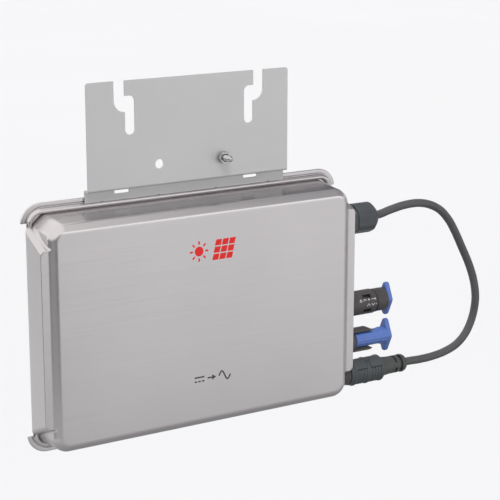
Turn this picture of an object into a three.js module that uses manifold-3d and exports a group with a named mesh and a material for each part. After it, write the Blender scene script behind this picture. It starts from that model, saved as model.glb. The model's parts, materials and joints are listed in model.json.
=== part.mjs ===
// Micro inverter for one solar panel: two drawn stainless covers with a hanging bracket,
// a power board inside, and a gland, two DC connectors and an AC connector on the right side.
// Millimetres. X runs to the right, Y to the back and Z up.
import * as THREE from "three";
import { mergeVertices } from "three/addons/utils/BufferGeometryUtils.js";
import Module from "manifold-3d";

const wasm = await Module();
wasm.setup();

// ---------------------------------------------------------------- driving dimensions
// The parts are drawn in the covers' frame: Y = 0 is the joint between the two covers,
// Z = 0 the bottom edge of the rear cover and X = 0 its middle.
const GAP = 0.3; // clearance between pieces that touch or thread together
const SHEET = 1.0; // cover sheet
const ROUND = 20; // sides of a drawn circle

// Outer edge of the rear cover, and where its sides are trimmed back beside the housing.
const RIM = { half: 132.7, top: 184.1, corner: 15, hem: 2.8, hemFront: -0.8 };
const TRIM = { half: 127.5, low: 13.4, high: 170.5 };

// Drawn housing: the middle part, and the wider shoulder that makes the two side blocks.
const HOUSING = { half: 125.4, front: -32.8, edge: 6, baseTop: 176.5, baseLow: 5.2, top: 173.2, low: 8.3 };
const SHOULDER = { half: 131.7, front: -30.6, back: -5.2, top: 157, low: 27, backTop: 168.6, backLow: 16 };
const BEAD = { outer: 3.6, width: 4.6, front: -3.7 };

// Rear cover: flat rim and a shallow embossed panel.
const REAR = { front: 0.3, inset: 13, corner: 8, back: 2.3 };

// Hanging bracket: upper plate, ledge and lower strip of one stamped sheet.
const PLATE = { half: 83.5, top: 266, low: 187.9, front: -8.2, sheet: 1.5, corner: 2 };
const STRIP = { front: -2.6, low: 177.1, windowX: [48, 60], windowZ: [184, 188] };
const SLOT = { inner: 45.3, neck: 53.3, outer: 62, bolt: 231.1, mouth: 252.3, roof: 255 };
const STUD = { x: 26.5, z: 203.8, radius: 2.4, tip: -20 };
const PLATE_HOLE = { x: -26, z: 203.8, radius: 3.5 };

// Connectors leave the right side wall along +X on one line at mid depth.
const AXIS_Y = -18;
const WALL = SHOULDER.half;
const GLAND_Z = 145.6;
const SOCKET_Z = 77.2;
const PLUG_Z = 47.2;
const AC_Z = 20.6;
const CABLE = { radius: 3.25, bore: 3.7, sides: 8, steps: 58 };
const AC_PORT_RADIUS = 9;
const DC_COLLAR_RADIUS = 9.7;
const DC_THREAD_RADIUS = 6.9;
const CAP = { plateX: 169.2, plate: 4.2, tall: 13.3, wide: 7.5, tip: 2 };

const BOARD = { half: 104, low: 24, high: 160, back: -4, sheet: 1.6, standoffX: 96, standoffZ: [32, 152] };

// ---------------------------------------------------------------- materials
function finish(color, roughness, metalness) {
  return new THREE.MeshStandardMaterial({ color, roughness, metalness });
}
const stainless = () => finish(0xc1bcbe, 0.38, 0.9);
const bracketSteel = () => finish(0xbbbbbb, 0.45, 0.85);
const zinc = () => finish(0xc8c8c4, 0.35, 0.9);
const blackPlastic = () => finish(0x3a3a3c, 0.5, 0);
const greyPlastic = () => finish(0x585c5f, 0.55, 0);
const bluePlastic = () => finish(0x3a63b8, 0.45, 0);
const rubber = () => finish(0x2a2a2c, 0.8, 0);
const copper = () => finish(0xb8793f, 0.35, 0.9);
const aluminium = () => finish(0xb9bcc0, 0.4, 0.9);

// ---------------------------------------------------------------- solids
// A closed solid from any geometry: shared vertices are merged and faces turned outwards.
function solid(geometry) {
  const plain = geometry.clone();
  plain.deleteAttribute("normal");
  plain.deleteAttribute("uv");
  const merged = mergeVertices(plain, 1e-4);
  const at = merged.attributes.position;
  const corners = [new THREE.Vector3(), new THREE.Vector3(), new THREE.Vector3()];
  const faces = [];
  let volume = 0;
  for (let i = 0; i < merged.index.count; i += 3) {
    const face = [0, 1, 2].map((k) => merged.index.getX(i + k));
    if (new Set(face).size < 3) continue;
    face.forEach((v, k) => corners[k].fromBufferAttribute(at, v));
    volume += corners[0].dot(corners[1].clone().cross(corners[2]));
    faces.push(face);
  }
  const triVerts = new Uint32Array(faces.flatMap((f) => (volume < 0 ? [f[0], f[2], f[1]] : f)));
  return new wasm.Manifold(new wasm.Mesh({ numProp: 3, vertProperties: at.array, triVerts }));
}

function geometryOf(manifold) {
  const mesh = manifold.getMesh();
  const geometry = new THREE.BufferGeometry();
  geometry.setAttribute("position", new THREE.BufferAttribute(mesh.vertProperties, mesh.numProp));
  geometry.setIndex(new THREE.BufferAttribute(mesh.triVerts, 1));
  geometry.computeVertexNormals();
  return geometry;
}

const join = (...solids) => solids.reduce((a, b) => a.add(b));
const cut = (base, ...tools) => tools.reduce((a, b) => a.subtract(b), base);

function box(x, y, z) {
  const geometry = new THREE.BoxGeometry(x[1] - x[0], y[1] - y[0], z[1] - z[0]);
  return solid(geometry.translate((x[0] + x[1]) / 2, (y[0] + y[1]) / 2, (z[0] + z[1]) / 2));
}

// A body turned about a line along X through (AXIS_Y, z); profile points are [x, radius].
function turned(profile, z, { sides = ROUND, y = AXIS_Y, turn = 0 } = {}) {
  const points = profile.map(([x, r]) => new THREE.Vector2(r, x));
  const geometry = new THREE.LatheGeometry([...points, points[0]], sides, turn);
  return solid(geometry.rotateZ(-Math.PI / 2).translate(0, y, z));
}

// The same about a line along Y through (x, z); profile points are [y, radius].
function turnedY(profile, x, z, sides = ROUND) {
  const points = profile.map(([y, r]) => new THREE.Vector2(r, y));
  return solid(new THREE.LatheGeometry([...points, points[0]], sides).translate(x, 0, z));
}

// A tube or rod between two stations on an axis along X.
function ringX(from, to, outer, z, { inner = 0, sides = ROUND, y = AXIS_Y } = {}) {
  const profile = [[from, inner], [from, outer], [to, outer], [to, inner]];
  return turned(profile, z, { sides, y });
}

// A hexagonal ring, point up, with a round hole.
function hexX(from, to, corner, hole, z) {
  const blank = ringX(from, to, corner, z, { sides: 6 });
  return cut(blank, ringX(from - 1, to + 1, hole, z));
}

// A flat outline in X and Z given thickness from yFront to yBack.
function plate(shape, yFront, yBack) {
  const geometry = new THREE.ExtrudeGeometry(shape, {
    depth: yBack - yFront,
    bevelEnabled: false,
    curveSegments: 6,
  });
  return solid(geometry.rotateX(Math.PI / 2).translate(0, yBack, 0));
}

// Rounded rectangle in X and Z, symmetric about X = 0, as a loop of points.
const CORNER_STEPS = 4;
function roundedLoop(half, low, high, radius) {
  const loop = [];
  const centres = [
    [half - radius, high - radius],
    [radius - half, high - radius],
    [radius - half, low + radius],
    [half - radius, low + radius],
  ];
  centres.forEach(([x, z], corner) => {
    for (let i = 0; i <= CORNER_STEPS; i++) {
      const angle = (corner + i / CORNER_STEPS) * (Math.PI / 2);
      loop.push([x + radius * Math.cos(angle), z + radius * Math.sin(angle)]);
    }
  });
  return loop;
}

// Skin over a row of loops, each { y, loop }. A closed row makes a ring, an open one gets end faces.
function loft(rows, closed = false) {
  const count = rows[0].loop.length;
  const position = rows.flatMap(({ y, loop }) => loop.flatMap(([x, z]) => [x, y, z]));
  const index = [];
  const last = closed ? rows.length : rows.length - 1;
  for (let row = 0; row < last; row++) {
    const next = (row + 1) % rows.length;
    for (let i = 0; i < count; i++) {
      const j = (i + 1) % count;
      const [a, b, c, d] = [row * count + i, row * count + j, next * count + j, next * count + i];
      index.push(a, b, c, a, c, d);
    }
  }
  if (!closed) {
    for (let i = 1; i < count - 1; i++) {
      index.push(0, i + 1, i);
      const end = (rows.length - 1) * count;
      index.push(end, end + i, end + i + 1);
    }
  }
  const geometry = new THREE.BufferGeometry();
  geometry.setAttribute("position", new THREE.Float32BufferAttribute(position, 3));
  geometry.setIndex(index);
  return solid(geometry);
}

// Loop that follows the rim at a distance inside it.
function rimLoop(inset) {
  return roundedLoop(RIM.half - inset, inset, RIM.top - inset, Math.max(RIM.corner - inset, 1.5));
}

function flatRing(outerInset, innerInset, yFront, yBack) {
  const rows = [[outerInset, yFront], [outerInset, yBack], [innerInset, yBack], [innerInset, yFront]];
  return loft(rows.map(([inset, y]) => ({ y, loop: rimLoop(inset) })), true);
}

const sideTrims = () =>
  [-1, 1].map((side) => {
    const reach = [TRIM.half * side, (RIM.half + 5) * side].sort((a, b) => a - b);
    return box(reach, [-10, 10], [TRIM.low, TRIM.high]);
  });

// ---------------------------------------------------------------- covers
// Middle of the housing, drawn in by `t` for the inside: drafted walls and a rounded front edge.
const EDGE_STEPS = 4;
function housingBody(t) {
  const rows = [];
  const { half, front, edge, baseTop, baseLow, top, low } = HOUSING;
  const radius = edge - t;
  rows.push({ y: t ? 0.5 : 0, loop: roundedLoop(half - t, baseLow + t, baseTop - t, 13) });
  for (let i = 0; i <= EDGE_STEPS; i++) {
    const angle = (i / EDGE_STEPS) * (Math.PI / 2);
    const inset = t + radius * (1 - Math.cos(angle));
    const y = front + edge - radius * Math.sin(angle);
    rows.push({ y, loop: roundedLoop(half - inset, low + inset, top - inset, 11 - inset * 0.8) });
  }
  return loft(rows);
}

// Wider shoulder behind the front face: it stands out of the housing as a block on each side.
function shoulderBody(t) {
  const { half, front, back, top, low, backTop, backLow } = SHOULDER;
  const row = (y, inset, z0, z1, radius) => ({
    y,
    loop: roundedLoop(half - t - inset, z0 + t, z1 - t, radius),
  });
  return loft([
    row(t ? 0.5 : -0.5, half - TRIM.half + 0.4, TRIM.low + 0.4, TRIM.high - 0.4, 5),
    row(-2.4, 1.6, backLow - 1.6, backTop + 1, 5),
    row(back, 0, backLow, backTop, 5),
    row(front + 2 + t * 0.4, 0, low, top, 5),
    row(front + 0.6 + t, 0.6, low + 0.6, top - 0.6, 4.4),
    row(front + t, 2, low + 2, top - 2, 3.4),
  ]);
}

// Rounded bead pressed round the flange; `t` draws it in for the hollow side.
function bead(t) {
  const { outer, width, front } = BEAD;
  const crown = front + t;
  const heel = t ? 0.5 : -0.5;
  const section = [
    [outer + t, heel],
    [outer + t + 0.3, crown + 1.2],
    [outer + t * 0.7 + 1.2, crown + 0.3],
    [outer + width / 2, crown],
    [outer + width - t * 0.7 - 1.2, crown + 0.3],
    [outer + width - t - 0.3, crown + 1.2],
    [outer + width - t, heel],
  ];
  return loft(section.map(([inset, y]) => ({ y, loop: rimLoop(inset) })), true);
}

function frontCover() {
  const flange = cut(flatRing(RIM.hem + 0.5, 12, -SHEET, 0), ...sideTrims());
  const beads = cut(bead(0), ...sideTrims());
  const bracketNotch = box([-PLATE.half - 0.5, PLATE.half + 0.5], [STRIP.front - GAP, 1], [179, 182]);
  const strap = box([-PLATE.half - 0.5, PLATE.half + 0.5], [STRIP.front - GAP, 1], [176.9, 180]);
  const outside = join(housingBody(0), shoulderBody(0), flange, beads);
  const holes = [
    ringX(118, 140, 8 + GAP, GLAND_Z),
    ringX(118, 140, DC_THREAD_RADIUS + GAP, SOCKET_Z),
    ringX(118, 140, DC_THREAD_RADIUS + GAP, PLUG_Z),
    ringX(112, 140, AC_PORT_RADIUS + GAP, AC_Z),
  ];
  return cut(outside, housingBody(SHEET), shoulderBody(SHEET), bead(SHEET), bracketNotch, strap, ...holes);
}

function rearCover() {
  const { front, inset, corner, back } = REAR;
  const sheetBack = front + SHEET;
  const panelLoop = (i) => roundedLoop(RIM.half - i, i, RIM.top - i, corner);
  const skin = loft([
    { y: front, loop: rimLoop(0) },
    { y: sheetBack, loop: rimLoop(0) },
  ]);
  const hem = flatRing(0, RIM.hem, RIM.hemFront, front + 0.2);
  const boss = loft([
    { y: sheetBack - 0.5, loop: panelLoop(inset) },
    { y: back, loop: panelLoop(inset + 1.2) },
  ]);
  const hollow = loft([
    { y: front - 0.5, loop: panelLoop(inset + 1) },
    { y: back - SHEET, loop: panelLoop(inset + 2.2) },
  ]);
  const rivets = RIVET_X.map((x) => turnedY([[-9, 0], [-9, 1.5], [9, 1.5], [9, 0]], x, RIVET_Z, 12));
  return cut(join(skin, hem, boss), hollow, ...sideTrims(), ...rivets);
}

// Rubber frame inside the wall of the front cover, pressed against the rear cover.
function coverSeal() {
  const inner = (i) => roundedLoop(HOUSING.half - i, HOUSING.baseLow + i, HOUSING.baseTop - i, 14.5 - i / 2);
  const wide = SHEET + 0.8;
  const rows = [[wide, -2.8], [wide, -0.1], [wide + 3, -0.1], [wide + 3, -2.8]];
  return loft(rows.map(([i, y]) => ({ y, loop: inner(i) })), true);
}

// ---------------------------------------------------------------- bracket
const RIVET_X = [-70, -24, 24, 70];
const RIVET_Z = 179;

// Hanging slot: open at the top, then stepped inwards to the round seat of the bolt.
function slotShape(side) {
  const { inner, neck, outer, bolt, mouth, roof } = SLOT;
  const seat = (neck - inner) / 2;
  const sweep = outer - neck;
  const shape = new THREE.Shape();
  const points = [];
  const arc = (cx, cz, r, from, to) => {
    for (let i = 0; i <= 6; i++) {
      const angle = THREE.MathUtils.degToRad(from + ((to - from) * i) / 6);
      points.push([cx + r * Math.cos(angle), cz + r * Math.sin(angle)]);
    }
  };
  points.push([neck, PLATE.top + 2], [outer, PLATE.top + 2]);
  arc(neck, mouth, sweep, 0, -90);
  arc(inner + seat, bolt, seat, 0, -180);
  arc(inner + 4, roof - 4, 4, 180, 90);
  points.push([neck, roof]);
  shape.setFromPoints(points.map(([x, z]) => new THREE.Vector2(x * side, z)));
  return shape;
}

function mountingBracket() {
  const { half, top, low, front, sheet, corner } = PLATE;
  const back = front + sheet;
  const stripBack = STRIP.front + sheet;
  const outline = new THREE.Shape();
  outline.moveTo(-half, low);
  outline.lineTo(half, low);
  outline.lineTo(half, top - corner);
  outline.absarc(half - corner, top - corner, corner, 0, Math.PI / 2);
  outline.lineTo(corner - half, top);
  outline.absarc(corner - half, top - corner, corner, Math.PI / 2, Math.PI);
  const upper = plate(outline, front, back);
  const ledge = box([-half, half], [front, stripBack], [low, low + sheet]);
  const strip = box([-half, half], [STRIP.front, stripBack], [STRIP.low, low + sheet]);
  const tools = [];
  for (const side of [-1, 1]) {
    tools.push(plate(slotShape(side), front - 1, back + 1));
    const windowX = STRIP.windowX.map((x) => x * side).sort((a, b) => a - b);
    tools.push(box(windowX, [STRIP.front - 1, stripBack + 1], STRIP.windowZ));
    for (const notch of [44.7, 63.1]) {
      tools.push(box([notch * side - 0.6, notch * side + 0.6], [front - 1, back], [low - 1, low + 1.1]));
    }
  }
  tools.push(turnedY([[-12, 0], [-12, PLATE_HOLE.radius], [-3, PLATE_HOLE.radius], [-3, 0]],
    PLATE_HOLE.x, PLATE_HOLE.z));
  const studHole = STUD.radius + GAP;
  tools.push(turnedY([[-12, 0], [-12, studHole], [-3, studHole], [-3, 0]], STUD.x, STUD.z));
  RIVET_X.forEach((x) => tools.push(turnedY([[-9, 0], [-9, 1.5], [9, 1.5], [9, 0]], x, RIVET_Z, 12)));
  return cut(join(upper, ledge, strip), ...tools);
}

// Blind rivet: shank through strip and rear cover, flush in front, domed head at the back.
function rivet(x) {
  const seat = REAR.front + SHEET + 0.3;
  const profile = [[-2.5, 0], [-2.5, 1.2], [seat, 1.2], [seat, 3], [seat + 0.5, 2.7], [seat + 0.9, 1.6]];
  return turnedY([...profile, [seat + 1, 0]], x, RIVET_Z, 14);
}

// Welding stud with a thin head behind the plate and a thread made of shallow rings.
function groundStud() {
  const plateBack = PLATE.front + PLATE.sheet;
  const { radius, tip } = STUD;
  const profile = [[plateBack + 1.1, 0], [plateBack + 1.1, 3.9], [plateBack + GAP, 3.9]];
  profile.push([plateBack + GAP, radius], [-14, radius]);
  for (let y = -14; y > tip + 2; y -= 1.4) {
    profile.push([y - 0.7, radius - 0.4], [y - 1.4, radius]);
  }
  profile.push([tip, radius - 0.9], [tip, 0]);
  return turnedY(profile, STUD.x, STUD.z, 14);
}

function groundWasher() {
  const front = PLATE.front - 1.1;
  const back = PLATE.front - GAP;
  const disc = turnedY([[back, 0], [back, 4.6], [front, 4.6], [front, 0]], STUD.x, STUD.z, 20);
  const hole = turnedY([[5, 0], [5, 2.7], [-30, 2.7], [-30, 0]], STUD.x, STUD.z);
  return cut(disc, hole);
}

function groundNut() {
  const back = PLATE.front - 1.4;
  const front = back - 3.6;
  const chamfer = 0.5;
  const hex = turnedY([[back, 0], [back, 4.7], [front, 4.7], [front, 0]], STUD.x, STUD.z, 6);
  const dome = turnedY(
    [[back, 0], [back, 4.2], [back - chamfer, 4.7], [front + chamfer, 4.7], [front, 4.2], [front, 0]],
    STUD.x, STUD.z);
  const hole = turnedY([[5, 0], [5, 2.7], [-30, 2.7], [-30, 0]], STUD.x, STUD.z);
  return cut(hex.intersect(dome), hole);
}

// ---------------------------------------------------------------- power board
const boardFront = BOARD.back - BOARD.sheet;
const standoffs = BOARD.standoffZ.flatMap((z) => [-1, 1].map((side) => [side * BOARD.standoffX, z]));

function circuitBoard() {
  const board = box([-BOARD.half, BOARD.half], [boardFront, BOARD.back], [BOARD.low, BOARD.high]);
  const holes = standoffs.map(([x, z]) => turnedY([[-9, 0], [-9, 1.8], [0, 1.8], [0, 0]], x, z, 12));
  return cut(board, ...holes);
}

function standoff([x, z]) {
  const back = REAR.back - SHEET - GAP;
  const front = BOARD.back + GAP;
  const hex = turnedY([[back, 0], [back, 3.2], [front, 3.2], [front, 0]], x, z, 6);
  return cut(hex, turnedY([[front + 3, 0], [front + 3, 1.5], [-9, 1.5], [-9, 0]], x, z, 12));
}

function boardScrew([x, z]) {
  const seat = boardFront - GAP;
  const profile = [[BOARD.back + 2.6, 0], [BOARD.back + 2.6, 1.2], [seat, 1.2], [seat, 2.8]];
  profile.push([seat - 1.4, 2.8], [seat - 2, 1.9], [seat - 2, 0]);
  return turnedY(profile, x, z, 12);
}

const onBoard = boardFront - GAP;

function transformerCore() {
  const deep = [-22, -10];
  const frame = box([-26, 22], deep, [66, 112]);
  return cut(frame, box([-19, -9], [-30, 0], [74, 104]), box([5, 15], [-30, 0], [74, 104]));
}

function transformerWinding() {
  const coil = box([-18.6, 14.6], [-27, onBoard], [74.4, 103.6]);
  return cut(coil, box([-9.4, 5.4], [-22.4, -9.6], [70, 110]));
}

// Electrolytic can lying on the board, with the rolled groove near its foot.
function capacitorCan(x, z) {
  const [radius, length] = [9, 32];
  const profile = [[0, 0], [0, radius - 0.6], [0.6, radius], [3, radius], [3.6, radius - 0.8]];
  profile.push([4.6, radius - 0.8], [5.2, radius], [length - 0.8, radius]);
  profile.push([length, radius - 0.8], [length, 0]);
  const points = profile.map(([h, r]) => new THREE.Vector2(r, h));
  const geometry = new THREE.LatheGeometry([...points, points[0]], 14);
  return solid(geometry.rotateX(Math.PI / 2).translate(x, onBoard - radius, z));
}

// Power transistor: moulded body and metal tab flat against the heat spreader, three legs to the board.
const SPREADER = { front: -31.1, back: -28.5, x: [-100, -30], z: [110, 146] };
function transistor(x) {
  const face = SPREADER.back + GAP;
  const body = box([x - 5, x + 5], [face, face + 4.5], [122, 137]);
  const tab = box([x - 5, x + 5], [face, face + 1.3], [136, 144]);
  const legs = [-2.5, 0, 2.5].flatMap((offset) => {
    const wide = [x + offset - 0.4, x + offset + 0.4];
    const foot = box(wide, [face + 1.6, face + 2.6], [119, 123]);
    return [foot, box(wide, [face + 1.6, onBoard], [119, 120])];
  });
  return join(body, tab, ...legs);
}

function heatSpreader() {
  const bar = box(SPREADER.x, [SPREADER.front, SPREADER.back], SPREADER.z);
  const foot = box([SPREADER.x[0], SPREADER.x[0] + 3], [SPREADER.back - 0.5, onBoard], SPREADER.z);
  return join(bar, foot);
}

function outputRelay() {
  return box([74, 92], [onBoard - 15, onBoard], [118, 146]);
}

// Ring choke lying on the board, its turns shown as raised bands.
function emiChoke() {
  const [mean, core, turn] = [11, 4.6, 5.4];
  const place = (geometry) => solid(geometry.rotateX(Math.PI / 2).translate(62, onBoard - turn, 52));
  const bands = [];
  for (let i = 0; i < 6; i++) {
    const band = new THREE.CylinderGeometry(turn, turn, 3, 8).translate(mean, 0, 0);
    bands.push(place(band.rotateZ((i / 6) * Math.PI * 2)));
  }
  return join(place(new THREE.TorusGeometry(mean, core, 6, 18)), ...bands);
}

function radioModule() {
  const card = box([40, 68], [onBoard - 1, onBoard], [84, 104]);
  const can = box([42, 60], [onBoard - 3.4, onBoard - 0.8], [86, 102]);
  return join(card, can);
}

// ---------------------------------------------------------------- cable gland
function glandBody() {
  const inside = ringX(121, WALL + 1, 7.7, GLAND_Z);
  const collar = ringX(WALL + GAP, WALL + 4.3, 12.4, GLAND_Z, { sides: 6 });
  const thread = ringX(WALL + 4, 146.5, 8.6, GLAND_Z);
  return cut(join(inside, collar, thread), ringX(110, 150, 5.4, GLAND_Z));
}

function glandDomeNut() {
  const [back, shoulder, tip] = [136.5, 152.6, 158.6];
  const hex = ringX(back, tip, 12.9, GLAND_Z, { sides: 6 });
  const dome = turned(
    [[back, 0], [back, 11.9], [shoulder, 11.9], [156.2, 8.6], [158.2, 6.2], [tip, 5.2], [tip, 0]],
    GLAND_Z, { sides: 30 });
  const hollow = turned(
    [[130, 0], [130, 8.9], [147.2, 8.9], [152.6, 6.6], [152.6, CABLE.bore], [170, CABLE.bore], [170, 0]],
    GLAND_Z);
  return cut(hex.intersect(dome), hollow);
}

function glandSeal() {
  return ringX(139, 152.2, 5.1, GLAND_Z, { inner: CABLE.bore });
}

function glandLockNut() {
  return hexX(WALL - SHEET - 4, WALL - SHEET - GAP, 11.4, 8, GLAND_Z);
}

// ---------------------------------------------------------------- DC connectors
// Socket side: a round barrel with five latch windows round it.
function dcSocketBody() {
  const z = SOCKET_Z;
  const seat = WALL + GAP;
  const front = [[167.2, 9.2], [168, 8.6], [168, 0]];
  const barrel = turned(
    [[120, 0], [120, DC_THREAD_RADIUS], [seat, DC_THREAD_RADIUS], [seat, DC_COLLAR_RADIUS],
      [156, DC_COLLAR_RADIUS], [156.4, 8.7], [158, 8.7], [158.4, 9.2], ...front],
    z);
  const bore = turned([[139, 0], [139, 6.3], [170, 6.3], [170, 0]], z);
  const wireHole = ringX(110, 145, 2.9, z);
  const tools = [bore, wireHole];
  for (let i = 0; i < 5; i++) {
    const windowBox = new THREE.BoxGeometry(7.6, 3, 8).translate(147.4, 0, 9);
    windowBox.rotateX(THREE.MathUtils.degToRad(47 + 72 * i));
    tools.push(solid(windowBox.translate(0, AXIS_Y, z)));
  }
  return cut(barrel, ...tools);
}

function dcContact(z, tip) {
  return ringX(117, tip, 2.5, z, { inner: 1.2, sides: 16 });
}

function dcPanelNut(z) {
  return hexX(WALL - SHEET - 4.2, WALL - SHEET - GAP, 10.4, DC_THREAD_RADIUS + GAP, z);
}

// Finger plate of a cap: a long diamond across the axis, rounded at its corners.
function capPlate(z) {
  const { plateX, plate: thick, tall, wide, tip } = CAP;
  const shape = new THREE.Shape();
  const points = [];
  const corners = [[tall - tip, 0, 0], [0, wide - tip, 90], [tip - tall, 0, 180], [0, tip - wide, 270]];
  for (const [along, across, facing] of corners) {
    for (let i = -2; i <= 2; i++) {
      const angle = THREE.MathUtils.degToRad(facing + i * 22);
      points.push(new THREE.Vector2(along + tip * Math.cos(angle), across + tip * Math.sin(angle)));
    }
  }
  shape.setFromPoints(points);
  const geometry = new THREE.ExtrudeGeometry(shape, {
    depth: thick - 1.4,
    bevelEnabled: true,
    bevelSegments: 2,
    bevelSize: 0.7,
    bevelOffset: -0.7,
    bevelThickness: 0.7,
  });
  geometry.rotateY(Math.PI / 2).translate(plateX + 0.7, AXIS_Y, z);
  return solid(geometry);
}

function dcSocketCap() {
  const stem = ringX(146, CAP.plateX + 1, 5.8, SOCKET_Z);
  const bore = ringX(140, 164, 3.1, SOCKET_Z);
  return cut(join(stem, capPlate(SOCKET_Z)), bore);
}

// Plug side: a short collar, a slim barrel round the pin, and a latch arm above and below.
const JAW_X = 136.8;
function dcPlugBody() {
  const seat = WALL + GAP;
  const body = turned(
    [[120, 0], [120, DC_THREAD_RADIUS], [seat, DC_THREAD_RADIUS], [seat, DC_COLLAR_RADIUS],
      [JAW_X - 0.5, DC_COLLAR_RADIUS], [JAW_X, 9.2], [JAW_X, 3.5], [161, 3.5], [161, 0]],
    PLUG_Z);
  return cut(body, ringX(110, 170, 1.9, PLUG_Z));
}

function dcPlugPin() {
  return ringX(117, 158, 1.5, PLUG_Z, { sides: 14 });
}

// Springy arm with a pointed end; `side` is 1 above and -1 below the barrel.
function latchArm(side) {
  const root = JAW_X + GAP;
  const outline = [[root, 7.2], [root, 9.5], [149.6, 9.7], [155.6, 7.6], [155.6, 7.2]];
  const shape = new THREE.Shape(outline.map(([x, h]) => new THREE.Vector2(x, h * side)));
  const geometry = new THREE.ExtrudeGeometry(shape, { depth: 9.6, bevelEnabled: false });
  geometry.rotateX(Math.PI / 2).translate(0, AXIS_Y + 4.8, PLUG_Z);
  const rounding = ringX(130, 160, DC_COLLAR_RADIUS, PLUG_Z);
  return solid(geometry).intersect(rounding);
}

function dcPlugCap() {
  const sleeve = ringX(140, CAP.plateX + 1, 6.3, PLUG_Z);
  const hub = ringX(163, CAP.plateX + 1, 6.8, PLUG_Z);
  const bore = ringX(130, 164, 3.9, PLUG_Z);
  return cut(join(sleeve, hub, capPlate(PLUG_Z)), bore);
}

// ---------------------------------------------------------------- AC connector
function acPort() {
  const tube = ringX(112, 133, AC_PORT_RADIUS, AC_Z);
  const pocket = ringX(122, 140, 8.2, AC_Z);
  return cut(tube, pocket, ringX(100, 130, 5.4, AC_Z));
}

function acContacts() {
  const core = ringX(118, 124, 5.1, AC_Z);
  const pins = [0, 120, 240].map((degrees) => {
    const angle = THREE.MathUtils.degToRad(degrees + 90);
    const at = { y: AXIS_Y + 2.7 * Math.cos(angle), sides: 10 };
    return ringX(116, 129, 0.8, AC_Z + 2.7 * Math.sin(angle), at);
  });
  return join(core, ...pins);
}

// Plug sleeve, with a slotted band near its back end.
function acPlugBody() {
  const nose = ringX(129.6, 167, 7.8, AC_Z);
  const shell = turned(
    [[165.4, 0], [165.4, 8.2], [169, 7.6], [174, 7.1], [183.6, 7], [184, 6], [187.6, 6], [187.6, 0]], AC_Z);
  const bore = ringX(120, 200, CABLE.bore, AC_Z);
  const band = ringX(177.8, 179.5, 9, AC_Z, { inner: 6.2 });
  const bridges = [80, 200, 320].map((degrees) => {
    const bridge = new THREE.BoxGeometry(4, 4.2, 6).translate(178.6, 0, 7.5);
    bridge.rotateX(THREE.MathUtils.degToRad(degrees));
    return solid(bridge.translate(0, AXIS_Y, AC_Z));
  });
  return cut(join(nose, shell), bore, cut(band, ...bridges));
}

// Coupling ring: grip ribs that run round it, and two rows of raised finger pads on opposite sides.
function acCouplingRing() {
  const [from, to, pitch] = [133.5, 165, 2.8];
  const profile = [[from, 0], [from, 9.4], [from + 1, 9.7]];
  for (let x = from + 2; x < to - 2 * pitch; x += pitch) {
    profile.push([x, 9.5], [x + pitch / 2, 10]);
  }
  const grip = turned([...profile, [to - pitch / 2, 9.7], [to, 8.9], [to, 0]], AC_Z);
  const pads = [];
  for (const [start, length, lift] of [[137, 11.5, 10.7], [151, 12, 10.9]]) {
    for (const degrees of [41.5, 221.5]) {
      const pad = new THREE.BoxGeometry(length, 8.6, 4).translate(start + length / 2, 0, lift - 2);
      pad.rotateX(THREE.MathUtils.degToRad(degrees));
      pads.push(solid(pad.translate(0, AXIS_Y, AC_Z)));
    }
  }
  return cut(join(grip, ...pads), ringX(120, 180, 8.2, AC_Z));
}

function acBackNut() {
  const profile = [[184.6, 6.3], [184.6, 7.2], [187.2, 7.2], [188.8, 6.6], [190, 5.2], [190.2, CABLE.bore]];
  profile.push([188.2, CABLE.bore], [188.2, 6.3]);
  return turned(profile, AC_Z);
}

// ---------------------------------------------------------------- leads
// Round lead along a smooth curve through the given points.
function lead(points, radius, sides, steps) {
  const curve = new THREE.CatmullRomCurve3(points.map((p) => new THREE.Vector3(...p)), false, "centripetal");
  const ring = [];
  for (let i = 0; i < sides; i++) {
    const angle = (i / sides) * Math.PI * 2;
    ring.push(new THREE.Vector2(radius * Math.cos(angle), radius * Math.sin(angle)));
  }
  const options = { steps, extrudePath: curve, bevelEnabled: false };
  return solid(new THREE.ExtrudeGeometry(new THREE.Shape(ring), options));
}

// Output cable: out of the gland, over in one loose loop and into the back of the AC plug.
const CABLE_ROUTE = [
  [141, GLAND_Z], [150, GLAND_Z], [158, GLAND_Z + 0.1], [165, 146.6], [174, 148.7], [187.6, 150.9],
  [201.6, 151], [213.2, 148.3], [223.8, 142.7], [232.7, 133.7], [240, 122.5], [247.2, 109.2],
  [253.5, 97.4], [258.6, 85.9], [262, 74.7], [263.4, 63.8], [262.3, 53.6], [259, 43.4],
  [253.4, 34.2], [244.8, 27], [232.6, 22.6], [219, 20.6], [206, 20.2], [196, AC_Z], [184, AC_Z],
].map(([x, z]) => [x, AXIS_Y, z]);

const acCable = () => lead(CABLE_ROUTE, CABLE.radius, CABLE.sides, CABLE.steps);

function dcLead(z, boardX) {
  const route = [[116.6, AXIS_Y, z], [112, AXIS_Y, z], [105, AXIS_Y + 3, z + 2], [boardX + 3, -12, z + 6]];
  return lead([...route, [boardX, onBoard - 1.6, z + 8]], 1.6, 6, 12);
}

// ---------------------------------------------------------------- assembly
const inverter = new THREE.Group();
inverter.name = "micro_inverter";
const parts = new THREE.Group();
inverter.add(parts);

// The part's origin is the bolt line of the hanging slots on the back face of the plate.
parts.position.set(0, -(PLATE.front + PLATE.sheet), -SLOT.bolt);

function add(name, body, material) {
  const mesh = new THREE.Mesh(geometryOf(body), material);
  mesh.name = name;
  parts.add(mesh);
}

add("front_cover", frontCover(), stainless());
add("rear_cover", rearCover(), stainless());
add("cover_seal", coverSeal(), rubber());

add("mounting_bracket", mountingBracket(), bracketSteel());
RIVET_X.forEach((x, i) => add(`bracket_rivet_${i + 1}`, rivet(x), zinc()));
add("ground_stud", groundStud(), zinc());
add("ground_washer", groundWasher(), zinc());
add("ground_nut", groundNut(), zinc());

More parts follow.
